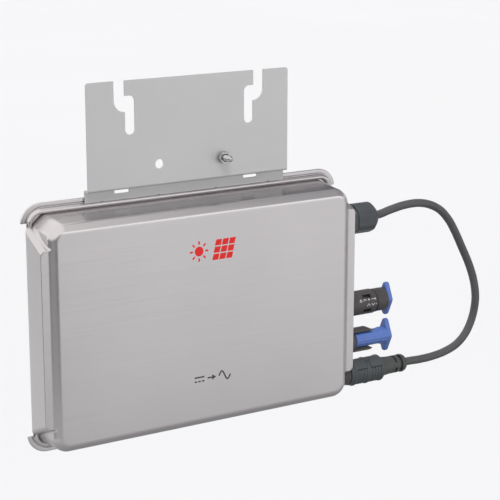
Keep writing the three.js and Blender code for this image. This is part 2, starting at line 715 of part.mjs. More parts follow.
add("circuit_board", circuitBoard(), finish(0x2f6b3c, 0.6, 0));
standoffs.forEach((at, i) => {
  add(`board_standoff_${i + 1}`, standoff(at), zinc());
  add(`board_screw_${i + 1}`, boardScrew(at), zinc());
});
add("transformer_core", transformerCore(), finish(0x3b3a3a, 0.7, 0));
add("transformer_winding", transformerWinding(), copper());
const canSleeve = finish(0x22304a, 0.4, 0.1);
[-84, -62, -40].forEach((x, i) => add(`capacitor_${i + 1}`, capacitorCan(x, 68), canSleeve));
[34, 56].forEach((x, i) => {
  const block = box([x, x + 14], [onBoard - 18, onBoard], [118, 148]);
  add(`film_capacitor_${i + 1}`, block, finish(0xb7a13a, 0.5, 0));
});
[-84, -65, -46].forEach((x, i) => add(`power_transistor_${i + 1}`, transistor(x), finish(0x26262a, 0.5, 0)));
add("heat_spreader", heatSpreader(), aluminium());
add("thermal_pad", box([-99, -31], [-31.7, -31.3], [111, 145]), finish(0x8f9db0, 0.8, 0));
add("output_relay", outputRelay(), finish(0x1f4f8a, 0.45, 0));
add("emi_choke", emiChoke(), finish(0x9a6a2c, 0.5, 0.3));
add("radio_module", radioModule(), aluminium());

add("gland_body", glandBody(), greyPlastic());
add("gland_dome_nut", glandDomeNut(), greyPlastic());
add("gland_seal", glandSeal(), rubber());
add("gland_lock_nut", glandLockNut(), greyPlastic());

add("dc_socket_body", dcSocketBody(), blackPlastic());
add("dc_socket_contact", dcContact(SOCKET_Z, 160), copper());
add("dc_socket_nut", dcPanelNut(SOCKET_Z), blackPlastic());
add("dc_socket_cap", dcSocketCap(), bluePlastic());
add("dc_plug_body", dcPlugBody(), blackPlastic());
add("dc_plug_latch_upper", latchArm(1), blackPlastic());
add("dc_plug_latch_lower", latchArm(-1), blackPlastic());
add("dc_plug_pin", dcPlugPin(), copper());
add("dc_plug_nut", dcPanelNut(PLUG_Z), blackPlastic());
add("dc_plug_cap", dcPlugCap(), bluePlastic());
add("dc_lead_socket", dcLead(SOCKET_Z, 90), finish(0xa02020, 0.6, 0));
add("dc_lead_plug", dcLead(PLUG_Z, 90), rubber());

add("ac_port", acPort(), blackPlastic());
add("ac_contacts", acContacts(), copper());
add("ac_plug_body", acPlugBody(), blackPlastic());
add("ac_coupling_ring", acCouplingRing(), greyPlastic());
add("ac_back_nut", acBackNut(), blackPlastic());
add("ac_cable", acCable(), greyPlastic());

export default inverter;
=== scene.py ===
"""Micro inverter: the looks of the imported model.

Two drawn stainless covers with a hanging bracket, a cable gland, two DC connectors with blue
blanking caps, and an AC plug at the end of a short looped cable.
"""

import json
import math

import bmesh
import bpy
import numpy as np
from mathutils import Matrix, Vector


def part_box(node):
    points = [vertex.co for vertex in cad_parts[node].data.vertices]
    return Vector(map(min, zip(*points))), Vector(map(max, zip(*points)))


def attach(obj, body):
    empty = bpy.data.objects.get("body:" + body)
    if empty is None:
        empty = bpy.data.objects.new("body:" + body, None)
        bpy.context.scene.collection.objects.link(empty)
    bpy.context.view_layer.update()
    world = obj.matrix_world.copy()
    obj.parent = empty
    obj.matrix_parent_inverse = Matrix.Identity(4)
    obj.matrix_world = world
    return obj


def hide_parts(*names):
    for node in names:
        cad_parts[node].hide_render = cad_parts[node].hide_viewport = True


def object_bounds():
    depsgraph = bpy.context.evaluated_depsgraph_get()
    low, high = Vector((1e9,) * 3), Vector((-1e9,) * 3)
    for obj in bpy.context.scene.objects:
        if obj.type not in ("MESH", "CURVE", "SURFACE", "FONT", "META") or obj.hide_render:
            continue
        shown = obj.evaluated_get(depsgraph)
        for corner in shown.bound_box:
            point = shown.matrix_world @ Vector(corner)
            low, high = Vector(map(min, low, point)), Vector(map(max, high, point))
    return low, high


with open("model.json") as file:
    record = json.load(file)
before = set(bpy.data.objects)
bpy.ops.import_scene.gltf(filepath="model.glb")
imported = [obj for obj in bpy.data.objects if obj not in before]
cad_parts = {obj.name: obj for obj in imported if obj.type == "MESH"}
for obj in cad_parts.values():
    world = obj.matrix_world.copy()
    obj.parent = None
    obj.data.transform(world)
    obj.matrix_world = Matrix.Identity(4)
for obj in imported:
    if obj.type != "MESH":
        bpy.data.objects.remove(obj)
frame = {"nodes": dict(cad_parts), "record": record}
cad_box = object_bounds()

# ------------------------------------------------------------------ frame and driving sizes
# Shapes are drawn in millimetres in the covers' own frame: Y = 0 is the joint between the covers,
# Z = 0 the bottom edge of the rear cover and X = 0 its middle.
MM = 0.001
HEM_FRONT = -0.8  # the rear cover's hem stands this far in front of the joint
rear_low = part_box("rear_cover")[0]
ORIGIN = np.array([0.0, rear_low.y / MM - HEM_FRONT, rear_low.z / MM])
X, Y, Z = 0, 1, 2


def to_row(points):
    return (np.asarray(points, float) + ORIGIN) * MM


def span(node, axis):
    """Lowest and highest value of a CAD node along an axis, in the covers' frame."""
    low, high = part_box(node)
    return low[axis] / MM - ORIGIN[axis], high[axis] / MM - ORIGIN[axis]


def middle(node, axis):
    return sum(span(node, axis)) / 2


RIM_HALF = span("rear_cover", X)[1]
RIM_TOP = span("rear_cover", Z)[1]
RIM_CORNER = 15
HEM = 2.8
TRIM_HALF, TRIM_LOW, TRIM_HIGH = 127.5, 13.4, 170.5
SHEET = 1.0
FRONT = span("front_cover", Y)[0]
HOUSING_HALF = 125.4
HOUSING_BACK_Z = (5.2, 176.5)
HOUSING_FRONT_Z = (8.3, 173.2)
HOUSING_CORNER = 12
FRONT_EDGE = 6
SHOULDER_HALF = span("front_cover", X)[1]
SHOULDER_FRONT = -30.6
SHOULDER_BACK = -5.2
SHOULDER_FRONT_Z = (27, 157)
SHOULDER_BACK_Z = (16, 168.6)
SHOULDER_EDGE = 0.25
STEP_FILLET = 1.2
BEAD_INSET, BEAD_WIDTH, BEAD_HEIGHT = 3.6, 4.6, 3.7
FLANGE_INNER = 12

AXIS_Y = middle("gland_dome_nut", Y)
GLAND_Z = middle("gland_dome_nut", Z)
SOCKET_Z = middle("dc_socket_body", Z)
PLUG_Z = middle("dc_plug_body", Z)
AC_Z = middle("ac_port", Z)
WALL = SHOULDER_HALF
AC_PORT_RADIUS = 9
COLLAR = 9.7  # radius of both DC connectors next to the wall
RIVET_X = (-70, -24, 24, 70)
RIVET_Z = 179
RIVET_HOLE = 1.5


def placed(name, data):
    obj = bpy.data.objects.new(name, data)
    bpy.context.scene.collection.objects.link(obj)
    return obj


def axes_matrix(*axes):
    """Turn that carries X, Y and Z onto three directions."""
    return Matrix([list(axis) for axis in axes]).transposed().to_4x4()


# ------------------------------------------------------------------ camera
# Seen from the front left and a little above, with a long lens.
CAMERA_TURN = math.radians(31.77)
CAMERA_DROP = math.radians(13.82)
CAMERA_AT = (-0.5777, -1.0158, 0.1924)
SENSOR = 36
LENS = 117.2


def aim_camera():
    turn_sin, turn_cos = math.sin(CAMERA_TURN), math.cos(CAMERA_TURN)
    drop_sin, drop_cos = math.sin(CAMERA_DROP), math.cos(CAMERA_DROP)
    right = (turn_cos, -turn_sin, 0)
    up = (turn_sin * drop_sin, turn_cos * drop_sin, drop_cos)
    back = (-turn_sin * drop_cos, -turn_cos * drop_cos, drop_sin)
    data = bpy.data.cameras.new("camera")
    data.sensor_width = SENSOR
    data.lens = LENS
    matrix = axes_matrix(right, up, back)
    matrix.translation = CAMERA_AT
    camera = placed("camera", data)
    camera.matrix_world = matrix
    bpy.context.scene.camera = camera


aim_camera()


# ------------------------------------------------------------------ mesh tools
# A solid is a pair: an array of points in the covers' frame and a list of faces.
def grid(rows, closed=False, caps=True):
    """Skin over rows of loops, each row an array of points with the same count."""
    rows = [np.asarray(row, float) for row in rows]
    count = len(rows[0])
    faces = []
    for row in range(len(rows) if closed else len(rows) - 1):
        start, following = row * count, ((row + 1) % len(rows)) * count
        for i in range(count):
            j = (i + 1) % count
            faces.append((start + i, start + j, following + j, following + i))
    if caps and not closed:
        faces.append(tuple(range(count)))
        last = (len(rows) - 1) * count
        faces.append(tuple(last + i for i in reversed(range(count))))
    return np.concatenate(rows), faces


def merge(*solids):
    points, faces, offset = [], [], 0
    for part_points, part_faces in solids:
        points.append(np.asarray(part_points, float))
        faces += [tuple(v + offset for v in face) for face in part_faces]
        offset += len(part_points)
    return np.concatenate(points), faces


def clean(mesh):
    """Merges doubled points, drops faces with no area and turns all faces outwards."""
    work = bmesh.new()
    work.from_mesh(mesh)
    bmesh.ops.remove_doubles(work, verts=work.verts, dist=1e-6)
    bmesh.ops.dissolve_degenerate(work, edges=work.edges, dist=1e-7)
    bmesh.ops.recalc_face_normals(work, faces=work.faces)
    work.to_mesh(mesh)
    work.free()


def make(name, solid):
    points, faces = solid
    mesh = bpy.data.meshes.new(name)
    mesh.from_pydata(to_row(points).tolist(), [], faces)
    clean(mesh)
    return placed(name, mesh)


def apply_modifiers(obj):
    bpy.context.view_layer.update()
    evaluated = obj.evaluated_get(bpy.context.evaluated_depsgraph_get())
    mesh = bpy.data.meshes.new_from_object(evaluated)
    obj.modifiers.clear()
    obj.data = mesh


def carve_with(obj, operation, tool):
    modifier = obj.modifiers.new("carve", "BOOLEAN")
    modifier.operation = operation
    modifier.solver = "MANIFOLD"
    modifier.object = tool
    apply_modifiers(obj)
    bpy.data.objects.remove(tool)


def carve(obj, operation, *solids):
    """Cuts solids out of an object, joins them to it or keeps what they share."""
    for solid in solids:
        carve_with(obj, operation, make("tool", solid))


def cut(obj, *solids):
    carve(obj, "DIFFERENCE", *solids)


def bevelled(obj, width, angle):
    modifier = obj.modifiers.new("edge", "BEVEL")
    modifier.width = width * MM
    modifier.segments = 2
    modifier.limit_method = "ANGLE"
    modifier.angle_limit = math.radians(angle)


def finish(obj, body, slot, *replaced, look=None, bevel=0, sharp=32):
    """Edge rounding, smooth shading, material, and the body that the piece moves with. The look is
    the slot's own, unless another one is named."""
    if bevel:
        bevelled(obj, bevel, 40)
        apply_modifiers(obj)
    obj.data.shade_smooth()
    obj.data.set_sharp_from_angle(angle=math.radians(sharp))
    weighted = obj.modifiers.new("normals", "WEIGHTED_NORMAL")
    weighted.keep_sharp = True
    obj.data.materials.clear()
    obj.data.materials.append(looks[look or slot])
    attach(obj, body)
    if replaced:
        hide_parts(*replaced)


def block(x, y, z):
    """Box between two values on each axis."""
    corners = [(x[0], z[0]), (x[1], z[0]), (x[1], z[1]), (x[0], z[1])]
    return grid([[(a, depth, b) for a, b in corners] for depth in y])


def prism_y(outline, front, back):
    """Outline of (x, z) points given thickness along Y."""
    return grid([[(x, depth, z) for x, z in outline] for depth in (front, back)])


def prism_x(outline, low, high):
    """Outline of (y, z) points given thickness along X."""
    return grid([[(x, y, z) for y, z in outline] for x in (low, high)])


def arc(centre, radius, start, end, steps=10):
    """Points of an arc between two angles in degrees."""
    angles = np.radians(np.linspace(start, end, steps + 1))
    return [(centre[0] + radius * math.cos(a), centre[1] + radius * math.sin(a)) for a in angles]


def rounded_loop(half, low, high, radius, steps=12):
    """Rounded rectangle in X and Z, symmetric about X = 0."""
    middle_x, top, bottom = half - radius, high - radius, low + radius
    corners = [(middle_x, top, 0), (-middle_x, top, 90), (-middle_x, bottom, 180), (middle_x, bottom, 270)]
    loop = []
    for x, z, start in corners:
        loop += arc((x, z), radius, start, start + 90, steps)
    return loop


def at_depth(loop, y):
    return [(x, y, z) for x, z in loop]


def softened(points, radius, steps=4):
    """The same open outline with its inner corners rounded."""
    points = [np.array(point, float) for point in points]
    result = [points[0]]
    for before, corner, after in zip(points, points[1:], points[2:]):
        to_before, to_after = before - corner, after - corner
        reach = min(radius, np.linalg.norm(to_before) * 0.45, np.linalg.norm(to_after) * 0.45)
        start = corner + to_before / np.linalg.norm(to_before) * reach
        end = corner + to_after / np.linalg.norm(to_after) * reach
        for step in range(steps + 1):
            t = step / steps
            result.append(start * (1 - t) ** 2 + corner * 2 * t * (1 - t) + end * t * t)
    return [tuple(point) for point in result + [points[-1]]]


def densified(points, spacing):
    """The same open outline with no gap along it wider than the spacing."""
    result = [points[0]]
    for start, end in zip(points, points[1:]):
        gap = math.dist(start, end)
        for step in range(1, max(1, math.ceil(gap / spacing)) + 1):
            t = step / max(1, math.ceil(gap / spacing))
            result.append(tuple(a + (b - a) * t for a, b in zip(start, end)))
    return result


def revolved(profile, relief, sides):
    """Stations, radii and angles of a solid of revolution, with its relief."""
    along, radius = (np.array(values)[:, None] * np.ones(sides) for values in zip(*profile))
    angle = np.arange(sides) / sides * 2 * math.pi * np.ones((len(profile), 1))
    return along, relief(along, radius, angle) if relief else radius, angle


def turned(profile, z, relief=None, sides=72):
    """Solid of revolution on a connector line. The profile runs in (x, radius) from the axis, or from
    a bore, round to where it began. relief(x, radius, angle) changes the radius round the body;
    angle 0 faces the front and 90 degrees is up."""
    along, radius, angle = revolved(profile, relief, sides)
    rows = np.stack([along, AXIS_Y - radius * np.cos(angle), z + radius * np.sin(angle)], -1)
    return grid(list(rows), closed=True)


def turned_y(profile, x, z, relief=None, sides=48):
    """The same on a line along Y through (x, z); the profile runs in (y, radius)."""
    along, radius, angle = revolved(profile, relief, sides)
    rows = np.stack([x + radius * np.cos(angle), along, z + radius * np.sin(angle)], -1)
    return grid(list(rows), closed=True)


def rod(low, high, radius, z, sides=72):
    return turned([(low, 0), (low, radius), (high, radius), (high, 0)], z, sides=sides)


def rod_y(front, back, radius, x, z, sides=48):
    return turned_y([(front, 0), (front, radius), (back, radius), (back, 0)], x, z, sides=sides)


def hexagon(flat, turn=0):
    """Relief that holds a turned body inside a hexagon with that distance from axis to flat."""
    def relief(along, radius, angle):
        facet = np.mod(angle - math.radians(turn) + math.pi / 6, math.pi / 3) - math.pi / 6
        return np.where(radius > 0.5 * flat, np.minimum(radius, flat / np.cos(facet)), radius)
    return relief


# ------------------------------------------------------------------ materials
def node(tree, kind, **values):
    made = tree.nodes.new(kind)
    for key, value in values.items():
        setattr(made, key, value)
    return made


def new_material(name):
    made = bpy.data.materials.new(name)
    made.use_nodes = True
    tree = made.node_tree
    shader = tree.nodes["Principled BSDF"]
    place = node(tree, "ShaderNodeTexCoord").outputs["Object"]
    return made, tree, shader, place


def noise(tree, place, scale, detail=2.0, stretch=(1, 1, 1)):
    mapping = node(tree, "ShaderNodeMapping")
    mapping.inputs["Scale"].default_value = stretch
    tree.links.new(place, mapping.inputs["Vector"])
    texture = node(tree, "ShaderNodeTexNoise")
    texture.inputs["Scale"].default_value = scale
    texture.inputs["Detail"].default_value = detail
    tree.links.new(mapping.outputs["Vector"], texture.inputs["Vector"])
    return texture.outputs["Fac"]


def between(tree, value, low, high, start=0.3, end=0.7, kind="LINEAR"):
    """A number that runs from low to high while a value, such as a noise, runs from start to end."""
    mapped = node(tree, "ShaderNodeMapRange", interpolation_type=kind)
    for name, number in (("From Min", start), ("From Max", end), ("To Min", low), ("To Max", high)):
        mapped.inputs[name].default_value = number
    tree.links.new(value, mapped.inputs["Value"])
    return mapped.outputs["Result"]


def tinted(tree, value, dark, light):
    """A colour that follows a noise value between two tints."""
    mapped = node(tree, "ShaderNodeValToRGB")
    for stop, position, tint in zip(mapped.color_ramp.elements, (0.3, 0.7), (dark, light)):
        stop.position = position
        stop.color = (*tint, 1)
    tree.links.new(value, mapped.inputs["Fac"])
    return mapped.outputs["Color"]


def roughen(tree, shader, value, strength, distance):
    bump = node(tree, "ShaderNodeBump")
    bump.inputs["Strength"].default_value = strength
    bump.inputs["Distance"].default_value = distance
    tree.links.new(value, bump.inputs["Height"])
    tree.links.new(bump.outputs["Normal"], shader.inputs["Normal"])


def shaded(colour, factor):
    return tuple(min(1.0, channel * factor) for channel in colour)


def sheet_metal(name, colour, roughness, streak=(1, 60, 60), spread=0.03, metallic=1.0):
    """Rolled sheet: faint streaks along the rolling direction and slow cloudy changes of gloss."""
    made, tree, shader, place = new_material(name)
    clouds = noise(tree, place, 9, 3)
    streaks = noise(tree, place, 12, 4, streak)
    colour_value = tinted(tree, clouds, shaded(colour, 1 - spread), shaded(colour, 1 + spread))
    tree.links.new(colour_value, shader.inputs["Base Color"])
    tree.links.new(between(tree, streaks, roughness - 0.03, roughness + 0.03), shader.inputs["Roughness"])
    roughen(tree, shader, streaks, 0.04, 0.0002)
    shader.inputs["Metallic"].default_value = metallic
    return made


def moulded(name, colour, roughness, grain=1400, relief=0.06, spread=0.12):
    """Moulded plastic or rubber: fine spark-eroded grain and a slightly uneven gloss."""
    made, tree, shader, place = new_material(name)
    clouds = noise(tree, place, 60, 3)
    fine = noise(tree, place, grain, 2)
    colour_value = tinted(tree, clouds, shaded(colour, 1 - spread), shaded(colour, 1 + spread))
    tree.links.new(colour_value, shader.inputs["Base Color"])
    tree.links.new(between(tree, clouds, roughness - 0.05, roughness + 0.05), shader.inputs["Roughness"])
    roughen(tree, shader, fine, relief, 0.0003)
    shader.inputs["Specular IOR Level"].default_value = 0.45
    return made


def wound(name, colour, turns):
    """Enamelled wire laid side by side: rounded turns across one direction, with painted shade in the
    colour, darker in the grooves between turns and lighter on their crowns.
    """
    made, tree, shader, place = new_material(name)
    wave = node(tree, "ShaderNodeTexWave", wave_type="BANDS", bands_direction="Z")
    wave.inputs["Scale"].default_value = turns
    wave.inputs["Distortion"].default_value = 0.4
    tree.links.new(place, wave.inputs["Vector"])
    # Painted shade: the same bands that bump the turns make the colour dark in the grooves and light on the
    # crowns.
    colour_value = tinted(tree, wave.outputs["Fac"], shaded(colour, 0.5), shaded(colour, 1.15))
    tree.links.new(colour_value, shader.inputs["Base Color"])
    roughen(tree, shader, wave.outputs["Fac"], 0.6, 0.0006)
    shader.inputs["Metallic"].default_value = 0.9
    shader.inputs["Roughness"].default_value = 0.32
    return made


STEEL = (0.590, 0.567, 0.571)
# Kind of surface, colour, roughness (turns for the winding) and what else it needs.
LOOKS = {
    "cover_steel": (sheet_metal, STEEL, 0.24, dict(streak=(1, 40, 70))),
    "bracket_steel": (sheet_metal, (0.57, 0.57, 0.57), 0.5, dict(streak=(2, 60, 60), metallic=0.6)),
    "zinc": (sheet_metal, (0.5, 0.495, 0.49), 0.2, dict(streak=(30, 30, 30), spread=0.06)),
    "seal_rubber": (moulded, (0.02, 0.02, 0.022), 0.75),
    "board_green": (moulded, (0.02, 0.12, 0.05), 0.35),
    "ferrite": (moulded, (0.035, 0.034, 0.034), 0.6),
    "copper_wire": (wound, (0.62, 0.28, 0.12), 220),
    "can_blue": (moulded, (0.015, 0.03, 0.09), 0.25),
    "film_yellow": (moulded, (0.55, 0.38, 0.05), 0.35),
    "transistor_black": (moulded, (0.02, 0.02, 0.022), 0.5),
    "spreader_aluminium": (sheet_metal, (0.72, 0.73, 0.74), 0.4),
    "thermal_grey": (moulded, (0.25, 0.3, 0.36), 0.8),
    "relay_blue": (moulded, (0.02, 0.09, 0.3), 0.35),
    "gland_grey": (moulded, (0.058, 0.065, 0.069), 0.42),
    "connector_black": (moulded, (0.056, 0.051, 0.052), 0.42),
    "connector_grey": (moulded, (0.06, 0.063, 0.062), 0.42),
    "latch_grey": (moulded, (0.07, 0.064, 0.061), 0.42),
    "cap_blue": (moulded, (0.1, 0.175, 0.47), 0.35, dict(spread=0.05)),
    "contact_brass": (sheet_metal, (0.75, 0.55, 0.3), 0.3),
    "cable_grey": (moulded, (0.073, 0.073, 0.077), 0.4, dict(relief=0.1)),
    "lead_red": (moulded, (0.4, 0.02, 0.02), 0.5),
    "lead_black": (moulded, (0.02, 0.02, 0.02), 0.5),
    "print_red": (moulded, (0.72, 0.012, 0.008), 0.45, dict(spread=0.04)),
    "print_dark": (moulded, (0.05, 0.05, 0.06), 0.5, dict(spread=0.04)),
    "print_white": (moulded, (0.62, 0.61, 0.62), 0.5, dict(spread=0.04)),
}
looks = {
    name: kind(name, colour, value, **dict(*options))
    for name, (kind, colour, value, *options) in LOOKS.items()
}


# ------------------------------------------------------------------ cable and AC plug
# The route of the output cable, out of the gland and over into the back of the AC plug.
CABLE_RADIUS = 3.25
CABLE_ROUTE = [
    (141, 145.6), (150, 145.6), (158, 145.7), (165, 146.6), (174, 148.7), (187.6, 150.9),
    (201.6, 151), (213.2, 148.3), (223.8, 142.7), (232.7, 133.7), (240, 122.5), (247.2, 109.2),
    (253.5, 97.4), (258.6, 85.9), (262, 74.7), (263.4, 63.8), (262.3, 53.6), (259, 43.4),
    (253.4, 34.2), (244.8, 27), (232.6, 22.6), (219, 20.6), (206, 20.2), (196, 20.6), (184, 20.6),
]


def shared(a, b, start, end, t):
    """Between a and b, as t lies between start and end."""
    return a * (end - t) / (end - start) + b * (t - start) / (end - start)


def smooth_route(points, steps):
    """Centripetal Catmull-Rom curve through the points."""
    points = [np.array(point, float) for point in points]
    points = [2 * points[0] - points[1], *points, 2 * points[-1] - points[-2]]
    result = []
    for p0, p1, p2, p3 in zip(points, points[1:], points[2:], points[3:]):
        t1 = math.sqrt(np.linalg.norm(p1 - p0))
        t2 = t1 + math.sqrt(np.linalg.norm(p2 - p1))
        t3 = t2 + math.sqrt(np.linalg.norm(p3 - p2))
        for step in range(steps):
            t = t1 + (t2 - t1) * step / steps
            a2 = shared(p1, p2, t1, t2, t)
            b1 = shared(shared(p0, p1, 0, t1, t), a2, 0, t2, t)
            b2 = shared(a2, shared(p2, p3, t2, t3, t), t1, t3, t)
            result.append(shared(b1, b2, t1, t2, t))
    return result + [points[-2]]


def output_cable():
    route = [(x, AXIS_Y, z) for x, z in CABLE_ROUTE]
    path = to_row(smooth_route(route, 8))
    curve = bpy.data.curves.new("output_cable", "CURVE")
    curve.dimensions = "3D"
    curve.bevel_depth = CABLE_RADIUS * MM
    curve.bevel_resolution = 8
    curve.use_fill_caps = True
    spline = curve.splines.new("POLY")
    spline.points.add(len(path) - 1)
    for point, place in zip(spline.points, path):
        point.co = (*place, 1)
    curve.materials.append(looks["cable_grey"])
    obj = placed("output_cable", curve)
    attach(obj, "housing")
    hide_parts("ac_cable")
    length = sum(np.linalg.norm(b - a) for a, b in zip(path, path[1:]))
    return obj, float(length)


RING_BASE = 9.5
RING_RIB = 0.6
RING_PITCH = 2.8
RING_LIPS = (137.6, 150, 163.4)
PAD_ROWS = [(137.4, 148.6, 10.8), (151.2, 162.8, 11)]
PAD_MIDDLE = math.radians(48.5)
PAD_HALF_ANGLE = math.radians(23)


def ramp(value, low, high):
    t = np.clip((value - low) / (high - low), 0, 1)
    return t * t * (3 - 2 * t)


def ring_relief(along, radius, angle):
    """Ribs and low lips that run round the ring, under two rows of raised pads on opposite sides."""
    start, end = span("ac_coupling_ring", X)
    outside = radius > 8.8
    ribbed = ramp(along, start + 1, start + 2) * (1 - ramp(along, end - 3, end - 2))
    result = radius + RING_RIB * ribbed * ramp(np.cos(2 * math.pi * along / RING_PITCH), -0.4, 0.4)
    for lip in RING_LIPS:
        result = np.maximum(result, RING_BASE + 1.1 * np.exp(-((along - lip) / 1.1) ** 4))
    turn = np.mod(angle - PAD_MIDDLE + math.pi / 2, math.pi) - math.pi / 2
    for low, high, lift in PAD_ROWS:
        lengthwise = ramp(along, low, low + 0.9) * (1 - ramp(along, high - 0.9, high))
        edge = PAD_HALF_ANGLE
        sideways = 1 - ramp(np.abs(turn), edge - 0.06, edge + 0.04)
        flat = lift * (0.35 + 0.65 / np.cos(np.clip(turn, -edge, edge)))
        result = result + (np.maximum(flat, result) - result) * lengthwise * sideways
    return np.where(outside, result, radius)


def ac_connector():
    start, end = span("ac_coupling_ring", X)
    outline = [(start, 8.9), (start + 0.8, RING_BASE), (end - 1.2, RING_BASE), (end, 8.9)]
    outline = densified(softened(outline, 0.6), 0.35)
    ring = make("coupling_ring", turned([(start, 8.3), *outline, (end, 8.3)], AC_Z, ring_relief, 216))
    finish(ring, "coupling_ring", "gland_grey", "ac_coupling_ring")

    nose, sleeve_end = span("ac_plug_body", X)[0], 187.6
    shell = [(165.4, 7.8), (165.4, 8.2), (169, 7.6), (174, 7.1), (183, 7), (183, 5.2), (sleeve_end, 5.2)]
    bore = CABLE_RADIUS + 0.4
    profile = [(nose, bore), (nose, 7.8), *softened(shell, 0.5), (sleeve_end, bore)]
    plug = make("ac_plug", turned(profile, AC_Z))
    for start_angle in (28, 148, 268):
        cut(plug, turned_arc((177.8, 179.6), (5.4, 9), (start_angle, start_angle + 85), AC_Z))
    finish(plug, "housing", "connector_black", "ac_plug_body", look="connector_grey")

    high = span("ac_back_nut", X)[1]
    low = 185.2
    outline = [(low, 6.2), (low, 7.3), (low + 2.2, 7.2), (low + 3.9, 6.5), (low + 5, 5.2), (high, 3.8)]
    profile = [*softened(outline, 0.6), (high, 3.7), (188.2, 3.7), (188.2, 6.2)]
    nut = make("ac_end_nut", turned(profile, AC_Z, fluted(0.1, 28, low + 0.4, low + 2)))
    finish(nut, "housing", "connector_black", "ac_back_nut", look="connector_grey")
    return plug, nut, ring


def turned_box(x, length, radius, width, turn, z, depth):
    """Box across a connector's surface at an angle round it, measured up from the front."""
    angle = math.radians(turn)
    outward = np.array([0, -math.cos(angle), math.sin(angle)])
    across = np.array([0, math.sin(angle), math.cos(angle)])
    centre = np.array([0, AXIS_Y, z])
    rows = []
    for along in (x - length / 2, x + length / 2):
        corners = [(radius - depth / 2, -width / 2), (radius + depth, -width / 2)]
        corners += [(radius + depth, width / 2), (radius - depth / 2, width / 2)]
        rows.append([centre + outward * r + across * w + (along, 0, 0) for r, w in corners])
    return grid(rows)


def turned_arc(stretch, radii, angles, z):
    """Curved bar round a connector between two stations, two radii and two angles up from the front."""
    (low, high), (inner, outer) = stretch, radii
    rows = []
    for angle in np.radians(np.linspace(*angles, 20)):
        outward = np.array([0, -math.cos(angle), math.sin(angle)])
        section = [(low, inner), (low, outer), (high, outer), (high, inner)]
        rows.append([outward * r + (x, AXIS_Y, z) for x, r in section])
    return grid(rows)


def fluted(depth, count, low, high):
    """Relief of fine flutes along the axis between two stations."""
    def relief(along, radius, angle):
        where = ramp(along, low, low + 0.5) * (1 - ramp(along, high - 0.5, high))
        return radius + depth * where * np.cos(angle * count)
    return relief


cable, cable_length = output_cable()
ac_plug, ac_end_nut, coupling_ring = ac_connector()
gland_tip = span("gland_dome_nut", X)[1]
tuple(to_row((gland_tip, AXIS_Y, GLAND_Z)))


# ------------------------------------------------------------------ drawn covers
def rectangle_field(x, z, half, low, high, radius):
    """Signed distance to a rounded rectangle in X and Z."""
    across = np.abs(x) - (half - radius)
    upward = np.abs(z - (low + high) / 2) - ((high - low) / 2 - radius)
    outside = np.hypot(np.maximum(across, 0), np.maximum(upward, 0))
    return outside + np.minimum(np.maximum(across, upward), 0) - radius


def rounded_meet(a, b, radius):
    """What two fields share, with their edge rounded."""
    corner = np.hypot(np.maximum(a + radius, 0), np.maximum(b + radius, 0))
    return np.minimum(np.maximum(a, b), -radius) + corner


def filleted_join(a, b, radius):
    """Two fields together, with a fillet where they meet."""
    corner = np.hypot(np.maximum(radius - a, 0), np.maximum(radius - b, 0))
    return np.maximum(np.minimum(a, b), radius) - corner


def housing_field(x, y, z):
    """Drafted box with a rounded front edge."""
    depth = np.clip(y / FRONT, 0, 1)
    low = HOUSING_BACK_Z[0] + (HOUSING_FRONT_Z[0] - HOUSING_BACK_Z[0]) * depth
    high = HOUSING_BACK_Z[1] + (HOUSING_FRONT_Z[1] - HOUSING_BACK_Z[1]) * depth
    walls = rectangle_field(x, z, HOUSING_HALF, low, high, HOUSING_CORNER)
    return rounded_meet(walls, FRONT - y, FRONT_EDGE)


def shoulder_field(x, y, z):
    """Wider block behind the front face; its ends slope out to the flange and its sides lean in to it."""
    depth = np.clip((y - SHOULDER_BACK) / (SHOULDER_FRONT - SHOULDER_BACK), 0, 1)
    low = SHOULDER_BACK_Z[0] + (SHOULDER_FRONT_Z[0] - SHOULDER_BACK_Z[0]) * depth
    high = SHOULDER_BACK_Z[1] + (SHOULDER_FRONT_Z[1] - SHOULDER_BACK_Z[1]) * depth
    walls = rectangle_field(x, z, SHOULDER_HALF, low, high, 4)
    lean = 0.915
    side = (np.abs(x) - SHOULDER_HALF + lean * (y - SHOULDER_BACK)) / math.hypot(1, lean)
    return rounded_meet(rounded_meet(walls, side, 2), SHOULDER_FRONT - y, SHOULDER_EDGE)


def cover_field(x, y, z):
    return filleted_join(housing_field(x, y, z), shoulder_field(x, y, z), STEP_FILLET)


def axis_steps(*stretches):
    """Grid values: each stretch is (start, end, spacing), the next one starts where it ends."""
    values = [stretches[0][0]]
    for start, end, spacing in stretches:
        count = round((end - start) / spacing)
        values += [start + (end - start) * (i + 1) / count for i in range(count)]
    return np.array(values)


